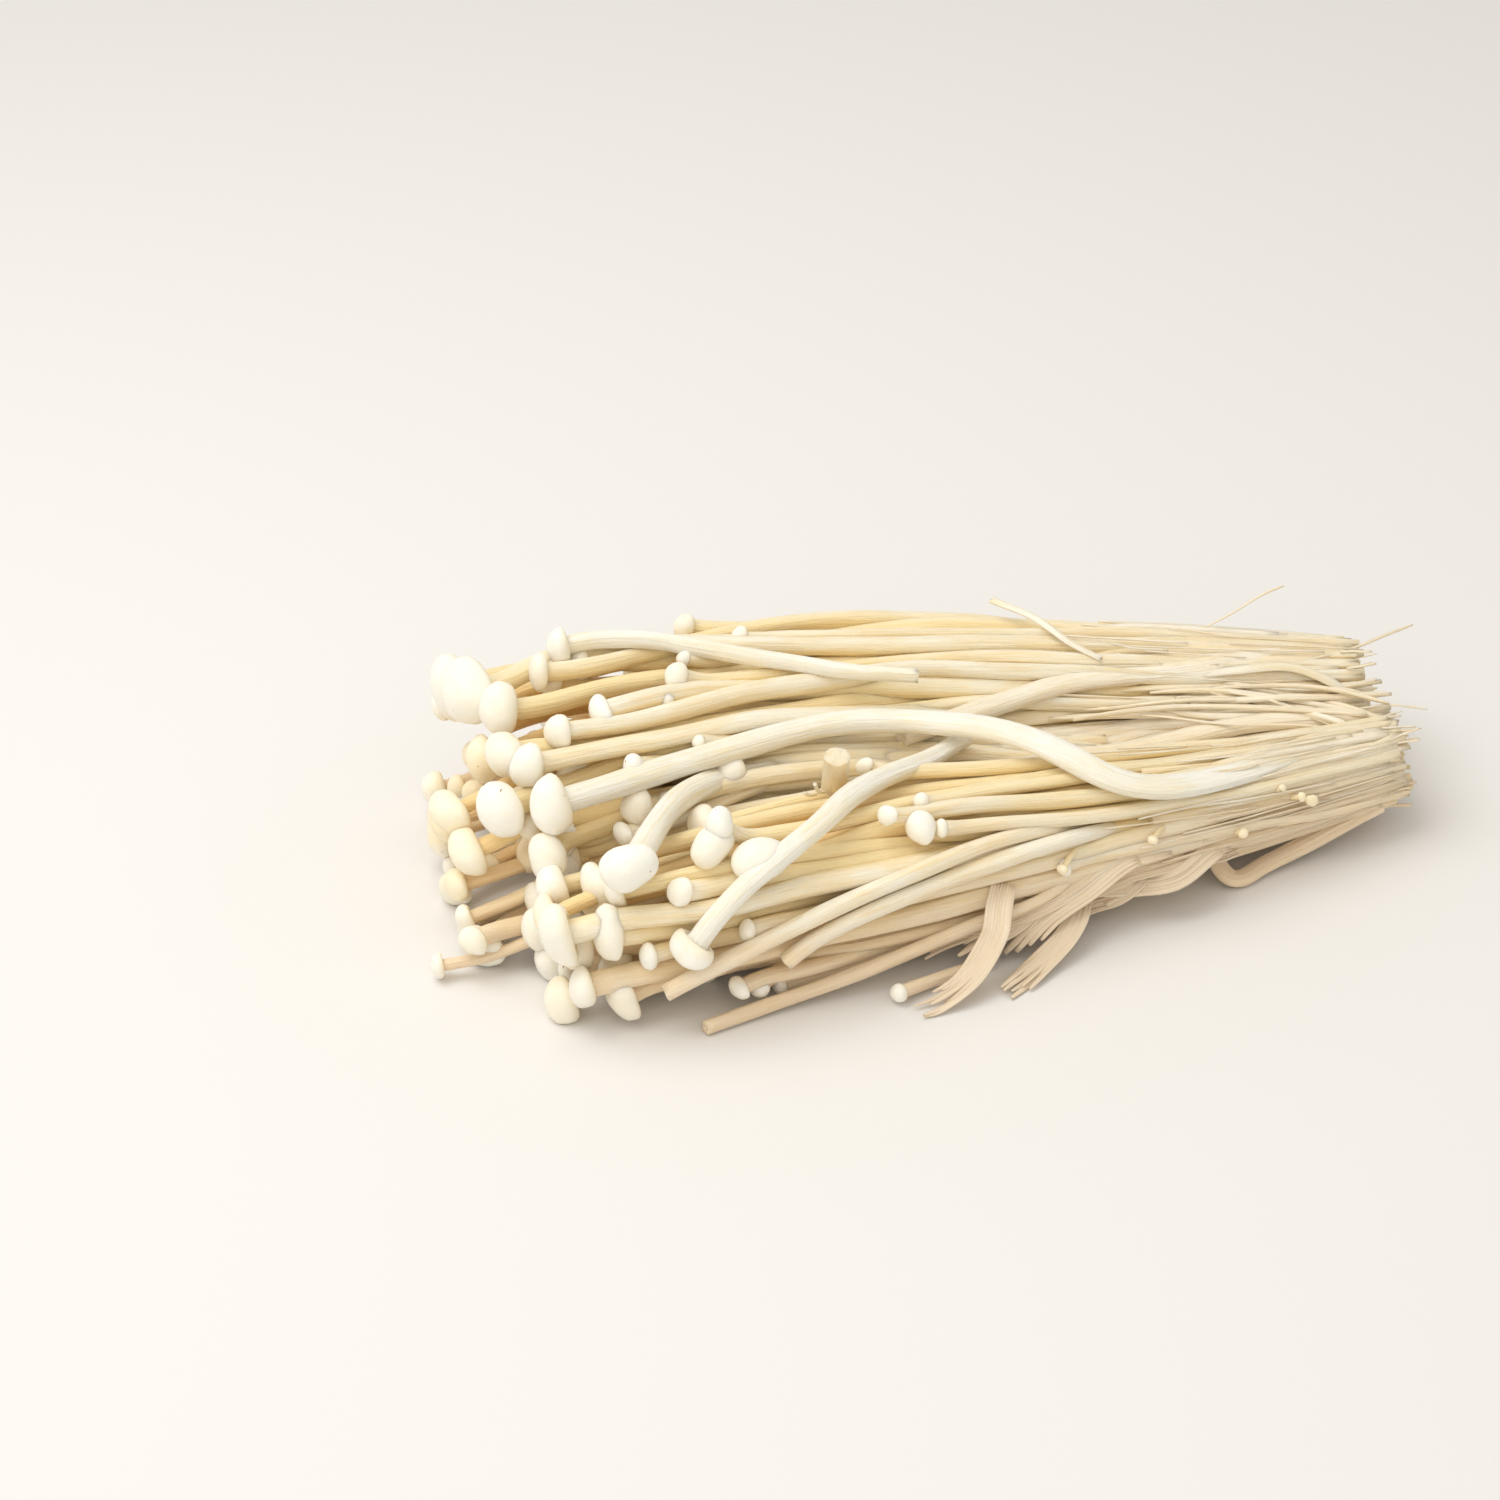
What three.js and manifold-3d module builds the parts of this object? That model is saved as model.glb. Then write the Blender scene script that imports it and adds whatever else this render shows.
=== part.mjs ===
// A bunch of enoki mushrooms lying on its side: long thin stems with small button caps, pulled off the
// cluster and cut straight at the root end. Most of the mushrooms still cling together in one bunch of
// two lobes with a furrow between them. Loose mushrooms, a broken stem and torn strands lie on and by it.
// Millimetres. X runs along the stems, with the cut ends at +X and the caps at -X. Y is across, Z is up.
// The origin is the middle of the flat under the bunch, where its weight presses it on the surface.

import * as THREE from 'three';
import { mergeVertices } from 'three/addons/utils/BufferGeometryUtils.js';
import Module from 'manifold-3d';

const wasm = await Module();
wasm.setup();

// Driving dimensions
const bunch = {
  length: 140,        // from the cut ends to the farthest caps
  cutEnd: 68,         // X of the cut ends
  belly: 0.36,        // height of a lobe's widest place, as a share of its height
  raggedCut: 3,       // the cut ends differ by this much along X
  floorClear: 0.12,   // the lowest stems lie this far above the flat
  smallestDetail: 0.15,
  fullFrom: 0.45,     // a stem reaches its full thickness at this share of its length
};
const bedding = 0.35;   // clear space round a loose mushroom that lies in the bunch

// The pressed middle of the underside: a flattened ball, cut off level with the surface
const pressed = { halfLength: 24, halfWidth: 9, halfHeight: 5, middle: 4.2 };

// Sizes of each lobe at these shares of the length, counted from the cut ends
const along = [0, 0.2, 0.4, 0.6, 0.8, 0.93, 1];
const backLobe = {
  middle: [7, 12, 15.5, 15, 11.5, 8.5, 3.5],
  halfWidth: [9.5, 13, 15.5, 20, 25.5, 26.5, 22],
  height: [19, 22, 26, 29, 31, 30, 25],
  lift: [0, 0, 0, 0, 0, 0, 0],        // how far its underside is off the surface
};
const frontLobe = {
  middle: [-11, -16.5, -19.5, -21, -25.5, -26, -24],
  halfWidth: [5.2, 7.4, 9.8, 13.8, 11.5, 8.5, 6],
  height: [16.5, 19.5, 23.5, 26, 25, 22, 17],
  lift: [4, 3.5, 1.6, 0, 0, 0, 0],
};

// The mushrooms of the upper side: tip X, angle round the lobe in degrees (0 back, 90 up, 180 front),
// cap diameter, stem diameter, and how many degrees the cap leans outwards. They are listed in the order
// in which their feet follow each other.
backLobe.upper = [
  [-27.7, 53, 4.2, 2.4, 10], [-51.5, 79, 5.2, 2.8, 10], [-61.9, 48, 9.2, 3.1, 5],
  [-49.4, 76, 5.4, 2.8, 30], [-22, 84, 3.2, 2, 10], [-45, 78, 4.8, 2.8, -15], [-61.3, 81, 9.2, 3, 20],
  [-31.8, 94, 2.4, 2.2, 20], [-34.1, 106, 3.8, 2.3, 35], [-58, 94, 7.4, 3.1, 15],
  [-37, 113, 3, 2.1, 30], [-45, 114, 4.6, 2.9, 0], [-51.2, 117, 5, 2.8, 5], [-58.6, 117, 7.2, 2.9, 0],
  [-45, 135, 3.4, 2.4, 40], [-56.3, 124, 6.2, 2.9, 10], [-33.5, 134, 2.2, 2, 20],
  [-61, 138, 7.8, 3.2, 10], [-43.5, 152, 5, 2.6, 25], [-59.2, 160, 6.2, 3, 50],
  [-46, 161, 3.4, 2.4, 20],
];
frontLobe.upper = [
  [-11.9, 62, 2.8, 2.2, 20], [-37.5, 117, 4.4, 2.6, 55], [-6.7, 116, 2.6, 2, 20],
  [-50.9, 63, 7, 2.8, -40], [-34.4, 131, 7, 3.1, 75], [-12, 120, 3.2, 2.2, 20],
  [-40.5, 126, 6, 2.9, 70], [-50.9, 152, 7, 3.3, 10], [-8.2, 130, 4.6, 2.6, 35],
  [-42.2, 142, 4.2, 2.8, 30], [-5, 132, 2.4, 2, 20], [-57, 150, 8.4, 3.3, 10], [-33.1, 165, 3, 2.2, 15],
  [-46.7, 168, 4, 2.6, 15], [-55, 196, 6.4, 3.1, 10], [-34.5, 214, 3.4, 2.4, 20],
  [-49.9, 212, 6.4, 3.1, 20], [-32.1, 216, 3.2, 2.3, 30], [12.5, 170, 2.4, 1.8, 20],
  [-28.3, 224, 3, 2, 10],
];
backLobe.upperFeet = [58, 168];     // angles of the first and the last foot of the upper mushrooms
frontLobe.upperFeet = [66, 206];

// The rest lie round its back and underside, between these angles
backLobe.rest = { count: 21, from: 172, to: 414 };
frontLobe.rest = { count: 13, from: 212, to: 414 };
backLobe.reach = 0.97;         // share of the length that the farthest caps of the lobe come to
frontLobe.reach = 0.9;
backLobe.coreReach = 0.84;     // and that its core comes to
frontLobe.coreReach = 0.78;
backLobe.seed = 100;
frontLobe.seed = 400;

const filler = {
  sides: 4,
  rings: [0, 0.5, 1],
  shortest: 0.74,            // share of the lobe's reach at which the shortest ends
  stem: [2.1, 3.0],
  cap: [3.6, 7.0],
  lean: [-6, 34],
};

// Shape of one mushroom
const mushroom = {
  sides: 5,
  finest: 1.45,              // a stem thinner than this radius has as few sides as a filler
  rings: [0, 0.25, 0.55, 0.9, 1],     // shares of the stem's length
  fit: 0.79,                 // clear of its neighbours, as a share of its thickness
  bend: [1.5, 9],            // a leaning tip bends over this length, and over more the further it leans
  footTaper: 0.62,           // the stem at its foot, as a share of its full thickness
  capProfile: [[0.86, 0.04], [1, 0.36], [0.66, 0.92]],   // radius and height, in cap radii
  capTop: 1.16,
};

// The core inside a lobe: how far it lies below the skin, and its profile from end to end as shares of
// that section and of its reach
const core = {
  sides: 10,
  footDepth: 1.2,
  capDepth: 3.0,
  deepens: [0.3, 0.7],
  profile: [[0, 0.012], [1, 0.012], [1, 0.28], [1, 0.6], [0.8, 0.84], [0.45, 0.95], [0, 1]],
};

// What lies loose on and beside the bunch. Points run from the broken or cut end to the cap.
const loose = {
  loose_mushroom_1: {
    points: [[-0.5, 1.4, 27], [-8.4, 3.6, 27.6], [-16.3, 6.7, 28.4], [-23, 9.1, 29.2], [-29.5, 12, 30],
      [-36.1, 14.8, 30.6], [-43.1, 16, 31], [-47.8, 15.6, 31.4]],
    stem: 2.5, cap: 5.2, lean: -11,
  },
  loose_mushroom_2: {
    points: [[65, -11.4, 15.4], [54.4, -14.4, 16.2], [42.3, -18.9, 17.2], [32, -23.2, 18.4],
      [21.8, -24.7, 20.6], [14.5, -18.2, 24], [7, -11, 24.6], [-3, -4.4, 23.6], [-13, -1.8, 23],
      [-24, -3.6, 23.4], [-34, -6.6, 23.4], [-47, -10.6, 23.6], [-54, -12.4, 23.4]],
    stem: 3.5, cap: 7.4, lean: -6,
  },
  loose_mushroom_3: {
    points: [[-15.6, 1.1, 18], [-22.7, -1.3, 18.6], [-29.2, -4.8, 19.4], [-35.6, -11.2, 21.4],
      [-40.9, -18.6, 23.2], [-45.2, -26.1, 24.4], [-48.5, -31.3, 23.6]],
    stem: 3.4, cap: 7.2, lean: 17,
  },
  loose_mushroom_4: {
    points: [[4.6, -5.1, 19.8], [-2, -10.9, 21], [-9.4, -16.9, 23], [-16.6, -23.1, 24.4],
      [-22.1, -28.5, 24.6], [-28.8, -33.4, 23.2], [-34.1, -35.7, 20.6], [-38.5, -36.9, 17.2],
      [-41, -37.3, 14.6]],
    stem: 3.2, cap: 5.8, lean: -11,
  },
  loose_mushroom_5: {
    points: [[0.5, -33.1, 1.3], [-6.5, -35.2, 1.2], [-13.1, -38, 1.5]],
    stem: 2.0, cap: 2.8, lean: 0,
  },
  broken_stem: {
    points: [[-16.7, -13.7, 19], [-16.9, -16.7, 27]],
    stem: 3.3,
  },
  bent_stem: {
    points: [[63, -16.4, 6], [57.3, -17, 4], [50, -18.6, 2.4], [44.1, -20.7, 1.6], [40.4, -22.6, 1.3],
      [38.7, -22.6, 1.6], [37.5, -21.4, 2.6], [37.1, -20.2, 4.2], [37.6, -19.6, 6]],
    stem: 2.2,
  },
  torn_strand_1: {
    points: [[1.6, -33.4, 10], [0.6, -35.6, 7.8], [-0.7, -36.3, 5.6], [-4.6, -39.3, 3],
      [-8.9, -40.6, 1.2], [-12.3, -41.3, 0.8]],
    stem: 3.0, flat: 0.26,
  },
  torn_strand_2: {
    points: [[13.4, -31, 4.5], [11.1, -33.2, 3], [8, -35.3, 1.8], [4, -38.2, 1], [0.4, -40.8, 0.8]],
    stem: 2.8, flat: 0.28,
  },
};

// In the furrow: a stem along its edge that the long pale one leaves at a fork, and strands below it
const furrow = {
  edge: {
    points: [[67, 10.4, 15.6], [60, 8.7, 17.6], [54, 7.4, 18.6], [42.9, 6, 19.4], [30.6, 5.5, 20],
      [21.3, 4.4, 20.4], [11.7, 1.8, 20.4], [3.8, -0.6, 20.2], [-4, -2.4, 19.6]],
    stem: 3.4, flat: 0.85,
  },
  core: { middle: [24, -4.8, 6.2], half: [43, 8.6, 4.6] },    // under the strands, between the lobes
  edgeShape: { sides: 6, rings: [0, 0.12, 0.25, 0.4, 0.55, 0.7, 0.85, 1], taper: 0.7 },
  count: 8,
  foot: { x: [64.5, 68], y: [-8.5, 1.5], z: [5, 15.6] },
  tip: { x: [-10, 20], y: [-9, 1], z: [10, 16] },
  bow: 2,               // bowed to one side by up to this much
  stem: [1.5, 2.4],
  shape: { sides: 4, rings: [0, 0.5, 1], taper: 0.8 },
  seed: 1500,
};
const looseShape = { sides: 8, rings: Array.from({ length: 13 }, (_, n) => n / 12), taper: 0.8 };
const flesh = { color: 0xf0e6cc, roughness: 0.55, metalness: 0 };

// Settling: the stems push each other aside until they lie side by side in their lobe
const settling = {
  steps: 20,            // stations along the bunch
  rounds: 200,
  push: 0.5,
  muchThicker: 1.3,     // one this many times as thick as its neighbour gives way less
  stiffness: 0.24,
  hold: 0.03,           // pull back to the wanted place, along the stem and at an upper cap
  holdTip: 0.35,
  capShare: 0.6,        // how much of a cap's radius stays inside the lobe's skin
  secondRow: 2.4,       // every second foot lies this far below its neighbours
  leanDepth: 4,         // a cap that leans right out starts this far below the skin
  sway: { size: 0.22, turns: 1.1 },     // stems wander round the lobe by this angle, so often along it
  dive: { size: 0.7, turns: 1.4 },      // and below its skin by this depth
  calm: [4, 8],         // they don't near their feet and tips, over these fractions of the bunch's length
};

// Repeatable draw between 0 and 1 for mushroom i, use k
function draw(i, k) {
  const s = Math.sin(i * 12.9898 + k * 78.233) * 43758.5453;
  return s - Math.floor(s);
}

const mix = (a, b, t) => a + (b - a) * t;
const ease = (t) => {
  const c = Math.min(1, Math.max(0, t));
  return c * c * (3 - 2 * c);
};
const radians = THREE.MathUtils.degToRad;
const wave = (turns) => Math.sin(2 * Math.PI * turns);
const stationX = (u) => bunch.cutEnd - bunch.length * u;

// Value at share u of the length, straight between the listed places
function sizeAt(values, u) {
  let n = 0;
  while (n < along.length - 2 && along[n + 1] < u) n += 1;
  return mix(values[n], values[n + 1], (u - along[n]) / (along[n + 1] - along[n]));
}

// Section of a lobe at u, shrunk by inset: half a blunt oval above the belly and a flatter one below
function sectionAt(lobe, u, inset) {
  const height = sizeAt(lobe.height, u);
  const lift = sizeAt(lobe.lift, u);
  const belly = mix(lift, height, bunch.belly);
  return {
    y: sizeAt(lobe.middle, u),
    z: belly,
    wide: Math.max(0.5, sizeAt(lobe.halfWidth, u) - inset),
    up: Math.max(0.5, height - belly - inset),
    down: Math.max(0.5, belly - lift - inset),
  };
}

// How far out (dy, dz) lies in the section: 1 on its skin
function reachIn(section, dy, dz) {
  const power = dz > 0 ? 2.3 : 3.2;
  const rise = dz > 0 ? section.up : section.down;
  return (Math.abs(dy / section.wide) ** power + Math.abs(dz / rise) ** power) ** (1 / power);
}

// Point on the section's skin in the direction of angle
function skinPoint(section, angle) {
  const rise = Math.sin(angle) > 0 ? section.up : section.down;
  const dy = section.wide * Math.cos(angle);
  const dz = rise * Math.sin(angle);
  const k = reachIn(section, dy, dz);
  return [section.y + dy / k, section.z + dz / k];
}

// List the mushrooms of a lobe: those of its upper side, then the rest
function plantLobe(lobe) {
  const list = [];
  const last = lobe.upper.length - 1;
  lobe.upper.forEach(([x, angle, cap, stem, lean], n) => {
    list.push({
      lobe,
      tip: (bunch.cutEnd - x) / bunch.length,
      tipAngle: radians(angle),
      footAngle: radians(mix(lobe.upperFeet[0], lobe.upperFeet[1], n / last)),
      footDepth: (n % 2) * settling.secondRow,
      tipDepth: settling.leanDepth * Math.sin(radians(lean)) ** 2,
      capRadius: cap / 2,
      stemRadius: stem / 2,
      lean: radians(lean),
      upper: true,
    });
  });
  const { count, from, to } = lobe.rest;
  for (let n = 0; n < count; n += 1) {
    const i = lobe.seed + n;
    const angle = radians(mix(from, to, (n + 0.5 + 0.4 * (draw(i, 1) - 0.5)) / count));
    list.push({
      lobe,
      tip: lobe.reach * mix(filler.shortest, 1, ease(draw(i, 2))),
      tipAngle: angle + 0.3 * (draw(i, 3) - 0.5),
      footAngle: angle,
      footDepth: 0,
      tipDepth: 0,
      capRadius: mix(...filler.cap, draw(i, 5)) / 2,
      stemRadius: mix(...filler.stem, draw(i, 6)) / 2,
      lean: radians(mix(...filler.lean, draw(i, 9))),
      upper: false,
    });
  }
  return list;
}

// Thickness of a mushroom at station u: its stem, then its cap, then nothing
function radiusAt(m, u) {
  const step = 1 / settling.steps;
  if (u < m.tip - 0.5 * step) return m.stemRadius * mix(mushroom.footTaper, 1, ease(u / bunch.fullFrom));
  return u < m.tip + step ? m.capRadius : 0;
}

// Set out the wanted place of each mushroom at each station, then settle them all
function settle(planted, laid) {
  const count = settling.steps + 1;
  for (const [i, m] of planted.entries()) {
    m.number = i;
    m.radius = [];
    m.goal = [];
    for (let j = 0; j < count; j += 1) {
      const u = j / settling.steps;
      const t = ease(u / m.tip);
      const calm = ease(u * settling.calm[0]) * ease((m.tip - u) * settling.calm[1]);
      const sway = settling.sway.size * wave(settling.sway.turns * u + draw(i, 7)) * calm;
      const dive = settling.dive.size * (1 + wave(settling.dive.turns * u + draw(i, 10))) * calm;
      const angle = mix(m.footAngle, m.tipAngle, t) + sway;
      m.radius.push(radiusAt(m, u));
      const inset = m.stemRadius + mix(m.footDepth, m.tipDepth, t) + dive;
      m.goal.push(skinPoint(sectionAt(m.lobe, u, inset), angle));
    }
    m.place = m.goal.map((p) => [...p]);
  }
  const all = [...laid, ...planted];
  for (let round = 0; round < settling.rounds; round += 1) {
    for (let j = 0; j < count; j += 1) pushApart(all, j);
    for (const m of planted) relax(m, count);
  }
}

// Where a loose mushroom crosses each station, for the others to give way to
function crossings(part) {
  const line = loosePath(part).getSpacedPoints(80);
  const tip = line[line.length - 1];
  const found = { fixed: true, place: [], radius: [] };
  for (let j = 0; j <= settling.steps; j += 1) {
    const x = stationX(j / settling.steps);
    const n = line.findIndex((p, k) => k > 0 && (line[k - 1].x - x) * (p.x - x) <= 0);
    const nearCap = n < 0 && Math.abs(tip.x - x) < part.cap;
    const at = n < 0 ? tip : line[n];
    found.place.push([at.y, at.z]);
    found.radius.push(n > 0 ? part.stem / 2 + bedding : nearCap ? part.cap / 2 : 0);
  }
  return found;
}

// Share of a push that the first of two takes: none if it lies loose, and a cap takes less than a stem
function giveWay(a, b, ra, rb) {
  if (a.fixed || b.fixed) return a.fixed ? 0 : 1;
  if (ra > settling.muchThicker * rb) return 0.25;
  return rb > settling.muchThicker * ra ? 0.75 : 0.5;
}

// Neighbours that overlap at station j give way, all at once
function pushApart(all, j) {
  const move = all.map(() => [0, 0]);
  for (let a = 0; a < all.length; a += 1) {
    const ra = all[a].radius[j];
    if (ra === 0) continue;
    const pa = all[a].place[j];
    for (let b = a + 1; b < all.length; b += 1) {
      const rb = all[b].radius[j];
      const pb = all[b].place[j];
      const dy = pb[0] - pa[0];
      const dz = pb[1] - pa[1];
      const gap = Math.hypot(dy, dz) + 1e-6;
      if (rb === 0 || gap >= ra + rb) continue;
      const push = settling.push * (ra + rb - gap) / gap;
      const share = giveWay(all[a], all[b], ra, rb);
      move[a][0] -= dy * push * share;
      move[a][1] -= dz * push * share;
      move[b][0] += dy * push * (1 - share);
      move[b][1] += dz * push * (1 - share);
    }
  }
  all.forEach((m, k) => {
    m.place[j][0] += move[k][0];
    m.place[j][1] += move[k][1];
  });
}

// One mushroom straightens, is drawn back to its goal and stays inside its lobe and above the floor
function relax(m, count) {
  const before = m.place.map((p) => [...p]);
  for (let j = 0; j < count; j += 1) {
    const p = m.place[j];
    const u = j / settling.steps;
    const isCap = m.radius[j] === m.capRadius;
    const hold = m.upper && isCap ? settling.holdTip : settling.hold;
    for (const k of [0, 1]) {
      const bend = j > 0 && j < count - 1 ? before[j - 1][k] + before[j + 1][k] - 2 * before[j][k] : 0;
      p[k] += settling.stiffness * bend + hold * (m.goal[j][k] - before[j][k]);
    }
    const kept = isCap ? m.capRadius * settling.capShare : m.radius[j];
    const inset = Math.max(kept, m.stemRadius * mushroom.footTaper);
    const section = sectionAt(m.lobe, u, inset);
    const out = reachIn(section, p[0] - section.y, p[1] - section.z);
    if (out > 1) {
      p[0] = section.y + (p[0] - section.y) / out;
      p[1] = section.z + (p[1] - section.z) / out;
    }
    p[1] = Math.max(p[1], (m.radius[j] || m.stemRadius) + bunch.floorClear);
  }
}

// The line that a settled stem follows, from its foot to its cap
function stemPath(m) {
  const points = [];
  const reach = m.tip * settling.steps;
  const foot = bunch.cutEnd - bunch.raggedCut * draw(m.number, 8);
  points.push(new THREE.Vector3(foot, m.place[0][0], m.place[0][1]));
  for (let j = 2; j < reach - 0.5; j += 2) {
    points.push(new THREE.Vector3(stationX(j / settling.steps), m.place[j][0], m.place[j][1]));
  }
  const j = Math.min(settling.steps - 1, Math.floor(reach));
  const f = reach - j;
  const tip = [0, 1].map((k) => mix(m.place[j][k], m.place[j + 1][k], f));
  points.push(new THREE.Vector3(stationX(m.tip), tip[0], tip[1]));
  return new THREE.CatmullRomCurve3(points, false, 'centripetal');
}

// The last few millimetres of a stem curve towards the side that its cap leans to
function bentPath(path, lean, away) {
  if (!lean) return path;
  const span = mushroom.bend[0] + mushroom.bend[1] * Math.abs(Math.sin(lean));
  const start = 1 - span / path.getLength();
  const from = path.getPointAt(start);
  const { tangent, out } = frameAt(path, start, away);
  const half = from.clone().addScaledVector(tangent, span / 2);
  const aim = tangent.clone().multiplyScalar(Math.cos(lean)).addScaledVector(out, Math.sin(lean));
  const tip = half.clone().addScaledVector(aim, span / 2);
  const middle = from.clone().lerp(tip, 0.5).lerp(half, 0.5);
  const kept = path.points.filter((p, n) => path.getUtoTmapping(start) * (path.points.length - 1) > n + 0.2);
  return new THREE.CatmullRomCurve3([...kept, from, middle, tip], false, 'centripetal');
}

// Closed geometry to solid and back
function toSolid(geometry) {
  geometry.deleteAttribute('normal');
  geometry.deleteAttribute('uv');
  const merged = mergeVertices(geometry, 1e-4);
  const corners = merged.index.array;
  const kept = [];
  for (let n = 0; n < corners.length; n += 3) {
    const [a, b, c] = [corners[n], corners[n + 1], corners[n + 2]];
    if (a !== b && b !== c && c !== a) kept.push(a, b, c);
  }
  return new wasm.Manifold(new wasm.Mesh({
    numProp: 3,
    vertProperties: new Float32Array(merged.attributes.position.array),
    triVerts: new Uint32Array(kept),
  }));
}

function toGeometry(solid) {
  const mesh = solid.getMesh();
  const geometry = new THREE.BufferGeometry();
  geometry.setAttribute('position', new THREE.BufferAttribute(mesh.vertProperties, 3));
  geometry.setIndex(new THREE.BufferAttribute(mesh.triVerts, 1));
  geometry.computeVertexNormals();
  return geometry;
}

// A mushroom or a bare stem, turned round the Y axis of a lathe and then bent along its path
function stemSolid(path, shape) {
  const { stemRadius, capRadius = 0, away, sides, rings, taper, flat = 1, grow = 0 } = shape;
  const profile = [new THREE.Vector2(0, -grow)];
  for (const t of rings) {
    const radius = stemRadius * mix(taper, 1, ease(t / bunch.fullFrom)) + grow;
    profile.push(new THREE.Vector2(radius, t === 0 ? -grow : t));
  }
  if (capRadius > 0) {
    for (const [r, h] of mushroom.capProfile) {
      profile.push(new THREE.Vector2(r * capRadius + grow, 1 + h * capRadius));
    }
  }
  profile.push(new THREE.Vector2(0, 1 + mushroom.capTop * capRadius + grow));
  const geometry = new THREE.LatheGeometry(profile, sides);
  const place = geometry.attributes.position;
  for (let n = 0; n < place.count; n += 1) {
    const [x, y, z] = [place.getX(n), place.getY(n), place.getZ(n)];
    const t = Math.min(1, Math.max(0, y));
    const { tangent, side, out } = frameAt(path, t, away);
    const point = path.getPointAt(t).addScaledVector(tangent, y - t);
    point.addScaledVector(out, z * flat).addScaledVector(side, x);
    place.setXYZ(n, point.x, point.y, point.z);
  }
  return outward(geometry);
}

// Solid of a closed geometry, whichever way its faces turn
function outward(geometry) {
  const solid = toSolid(geometry);
  return solid.volume() < 0 ? toSolid(flipped(geometry)) : solid;
}

function flipped(geometry) {
  const corners = geometry.index.array;
  for (let n = 0; n < corners.length; n += 3) {
    [corners[n], corners[n + 1]] = [corners[n + 1], corners[n]];
  }
  return geometry;
}

// Frame of a path: its tangent, the direction away from the bunch's inside, and the side
function frameAt(path, t, away) {
  const tangent = path.getTangentAt(t);
  const side = new THREE.Vector3().crossVectors(tangent, away).normalize();
  const out = new THREE.Vector3().crossVectors(side, tangent).normalize();
  return { tangent, side, out };
}

// Core of a lobe: a coarse body inside the stems, which stand out of it all round
function coreSolid(lobe) {
  const geometry = new THREE.LatheGeometry(core.profile.map((p) => new THREE.Vector2(...p)), core.sides);
  const [from, to] = core.deepens;
  const place = geometry.attributes.position;
  for (let n = 0; n < place.count; n += 1) {
    const [x, t, z] = [place.getX(n), place.getY(n), place.getZ(n)];
    const u = t * lobe.coreReach;
    const depth = mix(core.footDepth, core.capDepth, ease((u - from) / (to - from)));
    const section = sectionAt(lobe, u, depth);
    const [y, up] = skinPoint(section, Math.atan2(z, x));
    const share = Math.hypot(x, z);
    place.setXYZ(n, stationX(u), mix(section.y, y, share), mix(section.z, up, share));
  }
  return outward(geometry);
}

// The pressed middle of the underside, with the flat that the bunch rests on
function pressedSolid() {
  const geometry = new THREE.SphereGeometry(1, 16, 8);
  geometry.scale(pressed.halfLength, pressed.halfHeight, pressed.halfWidth);
  geometry.rotateX(Math.PI / 2);
  geometry.translate(0, 0, pressed.middle);
  return toSolid(geometry).trimByPlane([0, 0, 1], 0);
}

// Direction from the middle of the lobe to a cap, which the cap leans towards
function awayFrom(m, tip) {
  const middle = sectionAt(m.lobe, m.tip, 0);
  return new THREE.Vector3(0, tip.y - middle.y, tip.z - middle.z + 0.01).normalize();
}

function plantedSolid(m) {
  const path = stemPath(m);
  const kind = m.upper ? mushroom : filler;
  const away = awayFrom(m, path.getPointAt(1));
  return stemSolid(bentPath(path, m.lean, away), {
    stemRadius: m.stemRadius * mushroom.fit,
    capRadius: m.capRadius,
    away,
    sides: m.stemRadius < mushroom.finest ? filler.sides : kind.sides,
    rings: kind.rings,
    taper: mushroom.footTaper,
  });
}

function loosePath(part) {
  return new THREE.CatmullRomCurve3(part.points.map((p) => new THREE.Vector3(...p)), false, 'centripetal');
}

function looseSolid(part, grow, shape = looseShape) {
  const away = new THREE.Vector3(0, -0.3, 1);
  return stemSolid(bentPath(loosePath(part), radians(part.lean ?? 0), away), {
    stemRadius: part.stem / 2,
    capRadius: (part.cap ?? 0) / 2,
    away,
    flat: part.flat,
    grow,
    ...shape,
  });
}

// A seeded point in a box
function drawnPoint({ x, y, z }, i, k) {
  return [mix(...x, draw(i, k)), mix(...y, draw(i, k + 1)), mix(...z, draw(i, k + 2))];
}

// The strands of the furrow, each bowed a little between its foot and its tip
function furrowSolids() {
  const list = [looseSolid(furrow.edge, 0, furrow.edgeShape)];
  for (let n = 0; n < furrow.count; n += 1) {
    const i = furrow.seed + n;
    const foot = drawnPoint(furrow.foot, i, 1);
    const tip = drawnPoint(furrow.tip, i, 4);
    const middle = foot.map((v, k) => mix(v, tip[k], 0.5));
    middle[1] += furrow.bow * (2 * draw(i, 7) - 1);
    const stem = mix(...furrow.stem, draw(i, 10));
    list.push(looseSolid({ points: [foot, middle, tip], stem }, 0, furrow.shape));
  }
  return list;
}

// The core under the strands: a long flattened ball that joins the two lobes
function furrowCore() {
  const { middle, half } = furrow.core;
  const geometry = new THREE.SphereGeometry(1, 12, 8);
  geometry.rotateZ(Math.PI / 2);
  geometry.scale(...half);
  geometry.translate(...middle);
  return toSolid(geometry);
}

// Join the bunch, take out the beds of the loose pieces, and drop scraps and closed pockets
function bunchSolid() {
  const all = [...plantLobe(backLobe), ...plantLobe(frontLobe)];
  settle(all, Object.values(loose).filter((part) => part.cap).map(crossings));
  const joined = wasm.Manifold.union([
    ...all.map(plantedSolid),
    coreSolid(backLobe),
    coreSolid(frontLobe),
    furrowCore(),
    ...furrowSolids(),
    pressedSolid(),
  ]);
  const beds = wasm.Manifold.union(Object.values(loose).map((part) => looseSolid(part, bedding)));
  const bodies = joined.subtract(beds).simplify(bunch.smallestDetail).decompose();
  return bodies.reduce((a, b) => (a.volume() > b.volume() ? a : b));
}

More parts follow.
